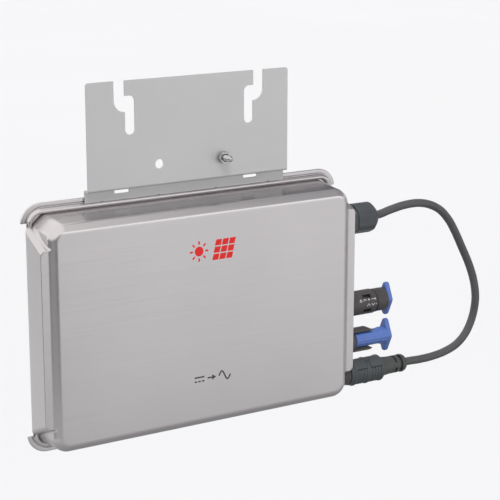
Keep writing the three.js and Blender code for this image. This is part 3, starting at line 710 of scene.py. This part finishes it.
def field_surface(field, axes, rounds=4):
    """Closed quad surface where a field is zero: one point for each grid cell that the surface passes
    through, moved onto it along the field's slope."""
    value = field(*np.meshgrid(*axes, indexing="ij"))
    corners = [(i, j, k) for i in (0, 1) for j in (0, 1) for k in (0, 1)]
    cells = tuple(len(axis) - 1 for axis in axes)

    def corner_view(array, offset):
        return array[tuple(slice(o, o + n) for o, n in zip(offset, cells))]

    inside_count = sum(corner_view(value < 0, offset).astype(int) for offset in corners)
    active = (inside_count > 0) & (inside_count < 8)
    index = np.full(cells, -1)
    index[active] = np.arange(active.sum())
    where = np.argwhere(active)
    total = np.zeros((len(where), 3))
    hits = np.zeros(len(where))
    for start in corners:
        for axis in range(3):
            if start[axis]:
                continue
            end = tuple(1 if a == axis else start[a] for a in range(3))
            a = corner_view(value, start)[active]
            b = corner_view(value, end)[active]
            crossed = (a < 0) != (b < 0)
            share = np.where(crossed, a / np.where(crossed, a - b, 1), 0)
            for k in range(3):
                first = axes[k][where[:, k] + start[k]]
                second = axes[k][where[:, k] + end[k]]
                total[:, k] += np.where(crossed, first + (second - first) * share, 0)
            hits += crossed
    points = total / hits[:, None]
    step = 0.02
    for _ in range(rounds):
        here = field(*points.T)
        slope = np.stack([
            (field(*(points + step * unit).T) - field(*(points - step * unit).T)) / (2 * step)
            for unit in np.eye(3)
        ], -1)
        points = points - slope * (here / np.maximum((slope ** 2).sum(1), 0.2))[:, None]
    faces = []
    for axis in range(3):
        u, v = [a for a in range(3) if a != axis]
        low = [slice(1, -1)] * 3
        low[axis] = slice(0, -1)
        high = list(low)
        high[axis] = slice(1, None)
        crossed = np.argwhere((value[tuple(low)] < 0) != (value[tuple(high)] < 0))
        crossed[:, u] += 1
        crossed[:, v] += 1
        ring = []
        for du, dv in ((-1, -1), (0, -1), (0, 0), (-1, 0)):
            cell = crossed.copy()
            cell[:, u] += du
            cell[:, v] += dv
            ring.append(index[tuple(cell.T)])
        faces += np.stack(ring, -1).tolist()
    return points, [tuple(face) for face in faces]


def cover_shell(offset, back):
    """The drawn cover as a closed solid, made smaller by an offset and closed off at a depth."""
    def field(x, y, z):
        return np.maximum(cover_field(x, y, z) + offset, y - back)
    fine, coarse = 0.9, 7
    edge = SHOULDER_HALF + 2
    flat = 108
    face, root = FRONT + 11, SHOULDER_BACK - 2
    axes = (
        axis_steps((-edge, -flat, fine), (-flat, flat, coarse), (flat, edge, fine)),
        axis_steps((FRONT - 2, face, 0.75), (face, root, 1.6), (root, back + 2, 0.8)),
        axis_steps((2, 34, fine), (34, 150, coarse), (150, 179, fine)),
    )
    return field_surface(field, axes)


def rim_loop(inset):
    """Loop that follows the rim at a distance inside it."""
    return rounded_loop(RIM_HALF - inset, inset, RIM_TOP - inset, max(RIM_CORNER - inset, 1.5))


def rim_ring(section):
    """Ring round the rim from a closed section of (inset, y) points."""
    return grid([at_depth(rim_loop(inset), y) for inset, y in section], closed=True)


def side_trims():
    """The rim stops short beside the shoulder blocks."""
    reach = RIM_HALF + 5
    return [
        block((TRIM_HALF, reach), (-10, 10), (TRIM_LOW, TRIM_HIGH)),
        block((-reach, -TRIM_HALF), (-10, 10), (TRIM_LOW, TRIM_HIGH)),
    ]


def bead_section(thickness, heel):
    """Half round bead, and the same drawn in by the sheet for its hollow."""
    centre = BEAD_INSET + BEAD_WIDTH / 2
    half, height = BEAD_WIDTH / 2 - thickness, BEAD_HEIGHT - thickness
    angles = np.radians(np.linspace(0, 180, 17))
    crown = [(centre - half * math.cos(a), -height * math.sin(a) ** 0.8) for a in angles[1:-1]]
    return [(centre - half, heel), *crown, (centre + half, heel)]


def front_cover():
    outer = HEM + 0.5
    flange = [(outer, -SHEET), (outer, 0), (FLANGE_INNER, 0), (FLANGE_INNER, -SHEET)]
    rim = make("rim", rim_ring(flange))
    carve(rim, "UNION", rim_ring(bead_section(0, -0.4)))
    cut(rim, rim_ring(bead_section(SHEET, 0.6)), *side_trims())
    cover = make("front_cover_shell", cover_shell(0, 1.5))
    carve_with(cover, "UNION", rim)
    behind = block((-RIM_HALF - 9, RIM_HALF + 9), (0, 9), (-9, RIM_TOP + 9))
    holes = ((8.3, GLAND_Z), (7.2, SOCKET_Z), (7.2, PLUG_Z), (AC_PORT_RADIUS + 0.3, AC_Z))
    cut(cover, cover_shell(SHEET, 3), behind, *[rod(112, 140, radius, z) for radius, z in holes])
    finish(cover, "housing", "cover_steel", "front_cover")


def rear_cover():
    """Flat pan with a turned hem round it and a shallow embossed panel."""
    panel_inset, panel_corner = 13, 8
    high = span("rear_cover", Y)[1]
    back = 1.3

    def row(inset, corner, y):
        return at_depth(rounded_loop(RIM_HALF - inset, inset, RIM_TOP - inset, corner), y)

    def panel(*steps):
        return [row(panel_inset + step, panel_corner, y) for step, y in steps]

    def edge(points):
        return [row(inset, RIM_CORNER - 0.45 * inset, y) for inset, y in points]

    hem = softened([(HEM, 0.3), (HEM, HEM_FRONT), (0, HEM_FRONT), (0, back), (2, back)], 0.7)
    rows = panel((3, high - SHEET), (2.4, high - SHEET - 0.05), (0.6, 0.4), (0, 0.3))
    rows += edge([(HEM, 0.3), *hem[1:]])
    rows += panel((-0.6, back), (-0.1, back + 0.15), (1.1, high - 0.15), (1.6, high))
    cover = make("rear_cover_shell", grid(rows))
    cut(cover, *side_trims(), *[rod_y(-9, 9, RIVET_HOLE, x, RIVET_Z) for x in RIVET_X])
    finish(cover, "housing", "cover_steel", "rear_cover")


# ------------------------------------------------------------------ hanging bracket
BRACKET_HALF = span("mounting_bracket", X)[1]
PLATE_TOP = span("mounting_bracket", Z)[1]
PLATE_LOW = 187.9
STRIP_LOW = span("mounting_bracket", Z)[0]
STRIP_FRONT = -2.6
PLATE_FRONT = span("mounting_bracket", Y)[0]
PLATE_SHEET = 1.5
SLOT_INNER, SLOT_NECK, SLOT_OUTER = 45.3, 53.3, 62
SLOT_BOLT_Z, SLOT_MOUTH_Z, SLOT_ROOF_Z = 231.1, 252.3, 255
WINDOW_INNER, WINDOW_OUTER, WINDOW_LOW = 48, 60, 184
NOTCH_X, NOTCH_HALF, NOTCH_Z = (44.7, 63.1), 0.6, (186.9, 189)
PLATE_HOLE_X, PLATE_HOLE = -26, 3.5
EARTH_HOLE = 2.7
STUD_X, STUD_Z = middle("ground_stud", X), middle("ground_stud", Z)


def bent_profile():
    """Section of the bent sheet in (y, z): plate, ledge and strip with rounded bends."""
    half, bend, steps = PLATE_SHEET / 2, 1.1, 6
    plate_y, ledge_z, strip_y = PLATE_FRONT + half, PLATE_LOW + half, STRIP_FRONT + half
    upper = (plate_y + bend, ledge_z + bend)
    lower = (strip_y - bend, ledge_z - bend)

    def side(offset):
        edge = [(plate_y + offset, PLATE_TOP)]
        edge += arc(upper, bend - offset, 180, 270, steps)
        edge += arc(lower, bend + offset, 90, 0, steps)
        return edge + [(strip_y + offset, STRIP_LOW)]

    return side(-half) + side(half)[::-1]


def hanging_slot(side):
    """Open at the top, stepped inwards, and round at the bolt's seat."""
    seat, sweep, roof_corner = (SLOT_NECK - SLOT_INNER) / 2, SLOT_OUTER - SLOT_NECK, 4
    outline = [(SLOT_NECK, PLATE_TOP + 2), (SLOT_OUTER, PLATE_TOP + 2)]
    outline += arc((SLOT_NECK, SLOT_MOUTH_Z), sweep, 0, -90, 14)
    outline += arc((SLOT_INNER + seat, SLOT_BOLT_Z), seat, 0, -180, 20)
    outline += arc((SLOT_INNER + roof_corner, SLOT_ROOF_Z - roof_corner), roof_corner, 180, 90, 10)
    outline.append((SLOT_NECK, SLOT_ROOF_Z))
    return prism_y([(x * side, z) for x, z in outline], PLATE_FRONT - 1, PLATE_FRONT + PLATE_SHEET + 1)


def mounting_bracket():
    corner = 2
    bracket = make("bracket", prism_x(bent_profile(), -BRACKET_HALF, BRACKET_HALF))
    top = PLATE_TOP - corner
    outline = [(-BRACKET_HALF, STRIP_LOW - 1), (BRACKET_HALF, STRIP_LOW - 1)]
    outline += arc((BRACKET_HALF - corner, top), corner, 0, 90, 6)
    outline += arc((corner - BRACKET_HALF, top), corner, 90, 180, 6)
    carve(bracket, "INTERSECT", prism_y(outline, -20, 20))
    behind = STRIP_FRONT + PLATE_SHEET + 1
    tools = []
    for side in (-1, 1):
        tools.append(hanging_slot(side))
        window = sorted((WINDOW_INNER * side, WINDOW_OUTER * side))
        tools.append(block(window, (STRIP_FRONT - 1, behind), (WINDOW_LOW, PLATE_LOW + 0.1)))
        for notch in NOTCH_X:
            across = (notch * side - NOTCH_HALF, notch * side + NOTCH_HALF)
            tools.append(block(across, (PLATE_FRONT - 1, PLATE_FRONT + 1.5), NOTCH_Z))
    tools.append(rod_y(-12, -3, PLATE_HOLE, PLATE_HOLE_X, STUD_Z))
    tools.append(rod_y(-12, -3, EARTH_HOLE, STUD_X, STUD_Z))
    tools += [rod_y(-9, 9, RIVET_HOLE, x, RIVET_Z) for x in RIVET_X]
    cut(bracket, *tools)
    finish(bracket, "housing", "bracket_steel", "mounting_bracket", bevel=0.15)


def rivets():
    for number, x in enumerate(RIVET_X, 1):
        front, back = span(f"bracket_rivet_{number}", Y)
        seat = 1.6
        head = [(seat + (back - seat) * math.sin(a), 3 * math.cos(a)) for a in np.radians(range(0, 91, 15))]
        profile = [(front, 0), *softened([(front, 0.1), (front, 1.2), (seat, 1.2), (seat, 3)], 0.25), *head]
        rivet = make(f"rivet_{number}", turned_y(profile, x, RIVET_Z, sides=36))
        finish(rivet, "housing", "zinc", f"bracket_rivet_{number}")


def thread(depth, pitch, low, high):
    """Relief of a screw thread between two stations."""
    def relief(along, radius, angle):
        wave = np.abs(np.mod(along / pitch + angle / (2 * math.pi), 1) * 2 - 1)
        where = (along > low) & (along < high) & (radius > 1.2)
        return radius - np.where(where, depth * wave, 0)
    return relief


def ground_terminal():
    tip, root = span("ground_stud", Y)
    radius = 2.4
    plate_back = PLATE_FRONT + PLATE_SHEET
    head = plate_back + 0.3
    shank = densified([(tip + 0.7, radius), (-9.4, radius)], 0.16)
    profile = [(tip, 0), (tip, radius - 0.8), *shank, (head, radius), (head, 3.9)]
    profile += [(root - 0.3, 3.9), (root, 3.5), (root, 0)]
    stud = make("earth_stud", turned_y(profile, STUD_X, STUD_Z, thread(0.6, 1.2, tip + 0.7, -9.5), 40))
    finish(stud, "housing", "zinc", "ground_stud", sharp=50)

    front, back = span("ground_washer", Y)
    outline = softened([(front, 2.8), (front, 4.6), (back, 4.6), (back, 2.8)], 0.25)
    profile = [(front, 2.7), *outline, (back, 2.7)]
    washer = make("earth_washer", turned_y(profile, STUD_X, STUD_Z))
    finish(washer, "housing", "zinc", "ground_washer")

    front, back = span("ground_nut", Y)
    corner, flat = 4.7, 4.7 * math.cos(math.pi / 6)
    profile = [(front, 3.1), (front, 4.1), (front + 0.5, corner), (back - 0.5, corner), (back, 4.1)]
    profile += [(back, 3.1), (back - 0.4, 2.7), (front + 0.4, 2.7)]
    nut = make("earth_nut_hex", turned_y(profile, STUD_X, STUD_Z, hexagon(flat, 30), 72))
    finish(nut, "earth_nut", "zinc", "ground_nut")


# ------------------------------------------------------------------ cable gland
def cable_gland():
    corner = 12.4
    flat = corner * math.cos(math.pi / 6)
    low, high = span("gland_body", X)
    collar, collar_end = WALL + 0.3, WALL + 4.3
    outline = softened([(collar, 8), (collar, corner), (collar_end, corner), (collar_end, 8.6)], 0.6)
    profile = [(low, 5.4), (low, 7.7), (collar, 7.7), *outline, (high, 8.6), (high, 5.4)]
    body = make("gland_collar", turned(profile, GLAND_Z, hexagon(flat), 144))
    finish(body, "housing", "gland_grey", "gland_body")

    start, tip = span("gland_dome_nut", X)
    flat = 12.9 * math.cos(math.pi / 6)
    outline = [(start, 9), (start, 11.9), (tip - 6, 11.9), (tip - 2.4, 8.6), (tip - 0.5, 6.4)]
    outline += [(tip, 5.6), (tip, 4.9)]
    outline = densified(softened(outline, 0.6), 0.5)
    profile = [*outline, (tip - 3, 4.7), (tip - 3, 3.7), (152.6, 3.7), (147.2, 8.9), (start, 8.9)]
    nut = make("gland_nut_dome", turned(profile, GLAND_Z, hexagon(flat), 144))
    finish(nut, "gland_nut", "gland_grey", "gland_dome_nut", sharp=24)


# ------------------------------------------------------------------ DC connectors
GROOVE_X, GROOVE_RADIUS = (156, 158.1), 8.2
CAP_PLATE_X, CAP_PLATE, CAP_TALL, CAP_WIDE = 169.2, 4.2, 13.3, 7.5


def socket_connector():
    low, high = span("dc_socket_body", X)
    seat = WALL + 0.3
    groove, groove_end = GROOVE_X
    outline = [(seat, 7), (seat, COLLAR), (groove, COLLAR), (groove, GROOVE_RADIUS)]
    outline += [(groove_end, GROOVE_RADIUS), (groove_end, 9.2), (high, 9.2), (high, 6.4)]
    profile = [(low, 2.9), (low, 6.9), (seat - 0.2, 6.9), *softened(outline, 0.5)]
    profile += [(high, 6.3), (139, 6.3), (139, 2.9)]
    body = make("dc_socket_shell", turned(profile, SOCKET_Z, sides=96))
    for turn in (43, 115, 187, 259, 331):
        cut(body, turned_box(147.4, 7.6, COLLAR, 3, turn, SOCKET_Z, depth=6))
    cut(body, turned_box(162.2, 7, 9.2, 9, -84, SOCKET_Z, depth=1.8))
    cut(body, turned_box(161, 4.2, 9.6, 0.9, 58, SOCKET_Z, depth=1.2))
    cut(body, turned_box(159.4, 0.8, 9.6, 3.4, 66, SOCKET_Z, depth=1.2))
    finish(body, "housing", "connector_black", "dc_socket_body", bevel=0.12)

    start = span("dc_socket_cap", X)[0]
    end = CAP_PLATE_X + 1
    stem = [(start, 3.1), *softened([(start, 3.2), (start, 5.8), (end, 5.8)], 0.5)]
    stem = turned([*stem, (end, 0), (164, 0), (164, 3.1)], SOCKET_Z)
    cap = make("dc_socket_blanking_cap", finger_plate(SOCKET_Z))
    carve(cap, "UNION", stem)
    finish(cap, "socket_cap", "cap_blue", "dc_socket_cap")


def finger_plate(z):
    """Long diamond across the axis, domed at its tips, with a rounded edge all round."""
    tip_radius, edge = 2.6, 1.3
    corners = [(CAP_TALL, 0, 0), (0, CAP_WIDE, 90), (-CAP_TALL, 0, 180), (0, -CAP_WIDE, 270)]

    def loop(inset, x):
        points = []
        for along, across, facing in corners:
            reach = math.hypot(along, across) - tip_radius
            centre = (reach * math.cos(math.radians(facing)), reach * math.sin(math.radians(facing)))
            spread = 62 if along else 28
            for up, side in arc(centre, tip_radius - inset, facing - spread, facing + spread, 10):
                points.append((x, AXIS_Y + side, z + up))
        return points

    rows = []
    for face, way in ((CAP_PLATE_X, 1), (CAP_PLATE_X + CAP_PLATE, -1)):
        for angle in np.radians(np.linspace(0, 90, 7)[::way]):
            rows.append(loop(edge * (1 - math.sin(angle)), face + way * edge * (1 - math.cos(angle))))
    return grid(rows)


def plug_connector():
    low, high = span("dc_plug_body", X)
    seat, jaw, barrel = WALL + 0.3, 136.8, 3.5
    outline = [(seat, 7), (seat, COLLAR), (jaw, COLLAR), (jaw, barrel), (high, barrel), (high, 1.9)]
    profile = [(low, 1.9), (low, 6.9), (seat - 0.2, 6.9), *softened(outline, 0.5)]
    body = make("dc_plug_shell", turned(profile, PLUG_Z, sides=96))
    finish(body, "housing", "connector_black", "dc_plug_body")

    for side, word in ((1, "upper"), (-1, "lower")):
        node_name = f"dc_plug_latch_{word}"
        root, tip = span(node_name, X)
        outline = [(root, 7.2), (root, 9.6), (149.4, 9.8), (tip, 7.7), (tip, 7.2), (146, 7.2)]
        rows = []
        for y in (AXIS_Y - 4.8, AXIS_Y + 4.8):
            rows.append([(x, y, PLUG_Z + height * side) for x, height in softened(outline, 0.9)])
        arm = make(f"latch_arm_{word}", grid(rows))
        carve(arm, "INTERSECT", rod(130, 160, COLLAR, PLUG_Z, 96))
        finish(arm, f"latch_{word}", "connector_black", node_name, look="latch_grey", bevel=0.3)

    start, end = span("dc_plug_cap", X)[0], CAP_PLATE_X + 1
    sleeve, hub, hub_x = 6.2, 6.7, 163
    outline = [(start, 4), (start, sleeve), (hub_x, sleeve), (hub_x + 1.2, hub), (end, hub)]
    outline = densified(softened(outline, 0.6), 0.8)
    profile = [(start, 3.9), *outline, (end, 0), (164, 0), (164, 3.9)]

    def relief(along, radius, angle):
        on_sleeve = ramp(along, start + 1, start + 2) * (1 - ramp(along, hub_x - 1, hub_x))
        on_hub = ramp(along, hub_x + 0.6, hub_x + 1.4)
        ribs = 0.13 * np.cos(angle * 16) * on_sleeve
        flutes = 0.28 * ramp(np.cos(angle * 14), -0.6, 0.6) * on_hub - 0.14
        return np.where(radius > 5, radius + ribs + flutes * on_hub, radius)

    cap = make("dc_plug_blanking_cap", finger_plate(PLUG_Z))
    carve(cap, "UNION", turned(profile, PLUG_Z, relief, 168))
    finish(cap, "plug_cap", "cap_blue", "dc_plug_cap")


def ac_socket():
    low, high = span("ac_port", X)
    radius = AC_PORT_RADIUS
    outline = softened([(low, 5.4), (low, radius), (high, radius), (high, 8.2), (122, 8.2), (122, 5.4)], 0.4)
    port = make("ac_port_tube", turned(outline, AC_Z))
    finish(port, "housing", "connector_black", "ac_port")


# ------------------------------------------------------------------ printed marks
PRINT = 0.08


def stroke(points, width):
    """Flat line of a given width along points in (x, z), with square ends."""
    points = np.array(points, float)
    slope = np.gradient(points, axis=0)
    slope /= np.linalg.norm(slope, axis=1)[:, None]
    normal = np.stack([-slope[:, 1], slope[:, 0]], -1) * width / 2
    outline = [*(points + normal), *(points - normal)[::-1]]
    return prism_y([tuple(p) for p in outline], FRONT - PRINT, FRONT + PRINT)


def disc(x, z, radius):
    return prism_y(arc((x, z), radius, 0, 352.5, 47), FRONT - PRINT, FRONT + PRINT)


def solar_mark():
    """Sun over a slanted panel of cells: a plain picture of what the device is for."""
    sun_x, sun_z, low, high = -8, 141.6, 133.6, 149.6
    pieces = [disc(sun_x, sun_z, 3.6)]
    for turn in range(0, 360, 45):
        direction = np.array([math.cos(math.radians(turn)), math.sin(math.radians(turn))])
        centre = np.array([sun_x, sun_z])
        pieces.append(stroke([centre + direction * 5.1, centre + direction * 7.6], 1.3))
    left, right, lean, columns, rows, gap = 3, 20.5, 3.5, 3, 3, 0.9
    for column in range(columns):
        for row in range(rows):
            x0 = left + (right - left) * column / columns
            x1 = left + (right - left) * (column + 1) / columns - gap
            z0 = low + (high - low) * row / rows
            z1 = low + (high - low) * (row + 1) / rows - gap
            shift0, shift1 = lean * row / rows, lean * (row + 1) / rows
            outline = [(x0 + shift0, z0), (x1 + shift0, z0), (x1 + shift1, z1), (x0 + shift1, z1)]
            pieces.append(prism_y(outline, FRONT - PRINT, FRONT + PRINT))
    mark = make("solar_mark", merge(*pieces))
    finish(mark, "housing", "print_red")


def converter_mark():
    """Direct current sign, an arrow and a sine wave: the general sign for an inverter."""
    z = 44.6
    pieces = [stroke([(-12.6, z + 1.6), (-4.4, z + 1.6)], 1.1)]
    pieces += [stroke([(x, z - 1.6), (x + 2, z - 1.6)], 1.1) for x in (-12.6, -9.5, -6.4)]
    pieces.append(stroke([(-1.6, z), (2.6, z)], 1.1))
    pieces.append(prism_y([(2.4, z - 2.1), (5.6, z), (2.4, z + 2.1)], FRONT - PRINT, FRONT + PRINT))
    wave = [(8.2 + 9.8 * t, z + 3.4 * math.sin(2 * math.pi * t)) for t in np.linspace(0, 1, 41)]
    pieces.append(stroke(wave, 1.15))
    mark = make("converter_mark", merge(*pieces))
    finish(mark, "housing", "print_dark")


def wrapped_stroke(start, end, width, turn):
    """Straight printed line on the DC socket: (along X, up round the barrel) from a row's angle."""
    start, end = np.array(start, float), np.array(end, float)
    along = (end - start) / np.linalg.norm(end - start)
    across = np.array([-along[1], along[0]]) * width / 2
    corners = [start + across, start - across, end - across, end + across]
    rows = []
    for radius in (COLLAR - 0.1, COLLAR + PRINT):
        row = []
        for x, up in corners:
            angle = math.radians(turn) + up / COLLAR
            row.append((x, AXIS_Y - radius * math.cos(angle), SOCKET_Z + radius * math.sin(angle)))
        rows.append(row)
    return grid(rows)


def socket_marks():
    """Two rows of plain signs on the collar: a warning triangle, polarity signs and an arrow."""
    low, high, line = -0.95, 0.95, 0.42
    upper = [((139.6, low), (141.9, low)), ((141.9, low), (140.75, high)), ((140.75, high), (139.6, low))]
    upper += [((143.3, 0.4), (146, 0.4)), ((143.3, -0.5), (144.1, -0.5)), ((145.2, -0.5), (146, -0.5))]
    upper += [((147.4, 0), (149.6, 0)), ((148.5, low), (148.5, high))]
    upper += [((151, 0), (155.2, 0)), ((154.2, high), (155.2, 0)), ((154.2, low), (155.2, 0))]
    lower = [((146.4, low), (147.9, high)), ((147.9, high), (149.4, low))]
    lower += [((150.6, high), (152.1, low)), ((152.1, low), (153.6, high)), ((154.4, 0), (155.6, 0))]
    strokes = [wrapped_stroke(*ends, line, 25) for ends in upper]
    strokes += [wrapped_stroke(*ends, line, 0) for ends in lower]
    mark = make("socket_marks", merge(*strokes))
    finish(mark, "housing", "print_white")


# ------------------------------------------------------------------ pieces kept from the CAD
def dress_kept_nodes():
    """Inner pieces keep their CAD shape, with broken edges and their own materials."""
    for part in frame["record"]["subparts"]:
        obj = frame["nodes"][part["node"]]
        if obj.hide_render:
            continue
        obj.data.materials.clear()
        obj.data.materials.append(looks[part["material_slot"]])
        bevelled(obj, 0.15, 50)


for build in (
    front_cover, rear_cover, mounting_bracket, rivets, ground_terminal, cable_gland, socket_connector,
    plug_connector, ac_socket, solar_mark, converter_mark, socket_marks, dress_kept_nodes,
):
    build()


# ------------------------------------------------------------------ studio
FLOOR_Z = cad_box[0][2] - 0.45
FLOOR_HALF = 30
FLOOR_TINTS = (0.862, 0.862, 0.867), (0.88, 0.88, 0.885)
# Round patch of the floor with painted shade: darker in reflections and for bounced light, standing in for
# the shade under the object.
SHADE_POOL_CENTRE = (0.3, 0.05)
SHADE_POOL_RADIUS = 2.1
SHADE_POOL_TINT = (0.32, 0.32, 0.325)
# What metal sees of the surround: a bright band low down, above it a pale side and a greyer right
# side, and a dark patch round one direction behind the object.
PLAIN = (0.98, 0.98, 1.0)
BAND, UPPER, UPPER_RIGHT, PATCH = (1.6, 1.6, 1.62), (1.2, 1.19, 1.17), (0.4, 0.4, 0.42), (0.12, 0.12, 0.135)
RIGHT_X, UPPER_Z = (0.34, 0.54), (0.13, 0.27)
PATCH_TOWARDS, PATCH_COSINES = (0.633, 0.703, 0.326), (0.945, 0.985)
FILL = 0.5  # strength of the surround as light on the object
# Cards seen only in reflections: two angles from the front, distance and tone.
CARDS = {
    "front_card": (-27, 13, 1.4, 0.42),
    "corner_card": (-62, -27, 1.35, 0.55),
    "left_card": (-118, -62, 1.3, 0.42),
    "right_card": (55, 125, 1.3, 0.75),
    "rear_card": (-172, -128, 1.3, 0.9),
}
CARD_TOP = 0.12


def combined(tree, operation, first, second):
    made = node(tree, "ShaderNodeMath", operation=operation)
    tree.links.new(first, made.inputs[0])
    tree.links.new(second, made.inputs[1])
    return made.outputs["Value"]


def blended(tree, amount, first, second):
    """Colour between two greys or colour outputs."""
    mixed = node(tree, "ShaderNodeMix", data_type="RGBA")
    tree.links.new(amount, mixed.inputs[0])
    for socket, value in ((6, first), (7, second)):
        if isinstance(value, tuple):
            mixed.inputs[socket].default_value = (*value, 1)
        else:
            tree.links.new(value, mixed.inputs[socket])
    return mixed.outputs[2]


def stage_sheet(name, points):
    """Flat four-cornered piece of the stage, with a material of its own."""
    mesh = bpy.data.meshes.new(name)
    mesh.from_pydata(points, [], [(0, 1, 2, 3)])
    obj = placed(name, mesh)
    made, tree, shader, place = new_material(name)
    mesh.materials.append(made)
    return obj, tree, shader, place


def floor():
    corners = [(-1, -1), (1, -1), (1, 1), (-1, 1)]
    points = [(x * FLOOR_HALF, y * FLOOR_HALF, FLOOR_Z) for x, y in corners]
    _, tree, shader, place = stage_sheet("floor", points)
    # Painted shade: a dark round patch that only reflected and bounced rays see, pale to the camera.
    away = node(tree, "ShaderNodeVectorMath", operation="DISTANCE")
    away.inputs[1].default_value = (*SHADE_POOL_CENTRE, FLOOR_Z)
    tree.links.new(place, away.inputs[0])
    shade = between(tree, away.outputs["Value"], 1, 0, 0, SHADE_POOL_RADIUS, "SMOOTHSTEP")
    rays = node(tree, "ShaderNodeLightPath").outputs
    indirect = combined(tree, "MAXIMUM", rays["Is Glossy Ray"], rays["Is Diffuse Ray"])
    pale = tinted(tree, noise(tree, place, 0.7), *FLOOR_TINTS)
    colour = blended(tree, combined(tree, "MULTIPLY", shade, indirect), pale, SHADE_POOL_TINT)
    tree.links.new(colour, shader.inputs["Base Color"])
    shader.inputs["Roughness"].default_value = 0.9
    shader.inputs["Specular IOR Level"].default_value = 0.1


def sun(direction, strength, spread):
    """Sun that shines from a direction; metal doesn't mirror it."""
    data = bpy.data.lights.new("sun", "SUN")
    data.energy = strength
    data.angle = math.radians(spread)
    obj = placed("sun", data)
    back = np.array(direction, float) / np.linalg.norm(direction)
    side = np.cross((0, 0, 1), back)
    side /= np.linalg.norm(side)
    obj.matrix_world = axes_matrix(side, np.cross(back, side), back)
    obj.visible_glossy = False


def card(name, start, end, distance, tone):
    turn, half = math.radians(start + end) / 2, math.radians(end - start) / 2
    centre = np.array([math.sin(turn), -math.cos(turn)]) * distance
    across = np.array([math.cos(turn), math.sin(turn)]) * math.tan(half) * distance
    corners = ((-1, FLOOR_Z), (1, FLOOR_Z), (1, CARD_TOP), (-1, CARD_TOP))
    points = [(*(centre + across * side), height) for side, height in corners]
    obj, tree, shader, place = stage_sheet(name, points)
    colour = tinted(tree, noise(tree, place, 3), (tone * 0.9,) * 3, (tone * 1.1,) * 3)
    tree.links.new(colour, shader.inputs["Base Color"])
    obj.visible_camera = False
    obj.visible_diffuse = False
    obj.visible_shadow = False


def sky():
    world = bpy.data.worlds.new("studio")
    bpy.context.scene.world = world
    world.use_nodes = True
    tree = world.node_tree
    background = tree.nodes["Background"].inputs
    direction = node(tree, "ShaderNodeTexCoord").outputs["Generated"]
    split = node(tree, "ShaderNodeSeparateXYZ")
    tree.links.new(direction, split.inputs["Vector"])
    facing = node(tree, "ShaderNodeVectorMath", operation="DOT_PRODUCT")
    facing.inputs[1].default_value = PATCH_TOWARDS
    tree.links.new(direction, facing.inputs[0])
    right = between(tree, split.outputs["X"], 0, 1, *RIGHT_X, "SMOOTHSTEP")
    high = between(tree, split.outputs["Z"], 0, 1, *UPPER_Z, "SMOOTHSTEP")
    behind = between(tree, facing.outputs["Value"], 0, 1, *PATCH_COSINES, "SMOOTHSTEP")
    seen = blended(tree, high, BAND, blended(tree, right, UPPER, UPPER_RIGHT))
    seen = blended(tree, behind, seen, PATCH)
    rays = node(tree, "ShaderNodeLightPath").outputs
    tree.links.new(blended(tree, rays["Is Glossy Ray"], PLAIN, seen), background["Color"])
    strength = between(tree, rays["Is Diffuse Ray"], 1, FILL, 0, 1, "SMOOTHSTEP")
    tree.links.new(strength, background["Strength"])


floor()
sky()
sun((-0.35, -0.75, 1.3), 2.1, 25)
for name, values in CARDS.items():
    card(name, *values)
bpy.context.scene.view_settings.view_transform = "Standard"
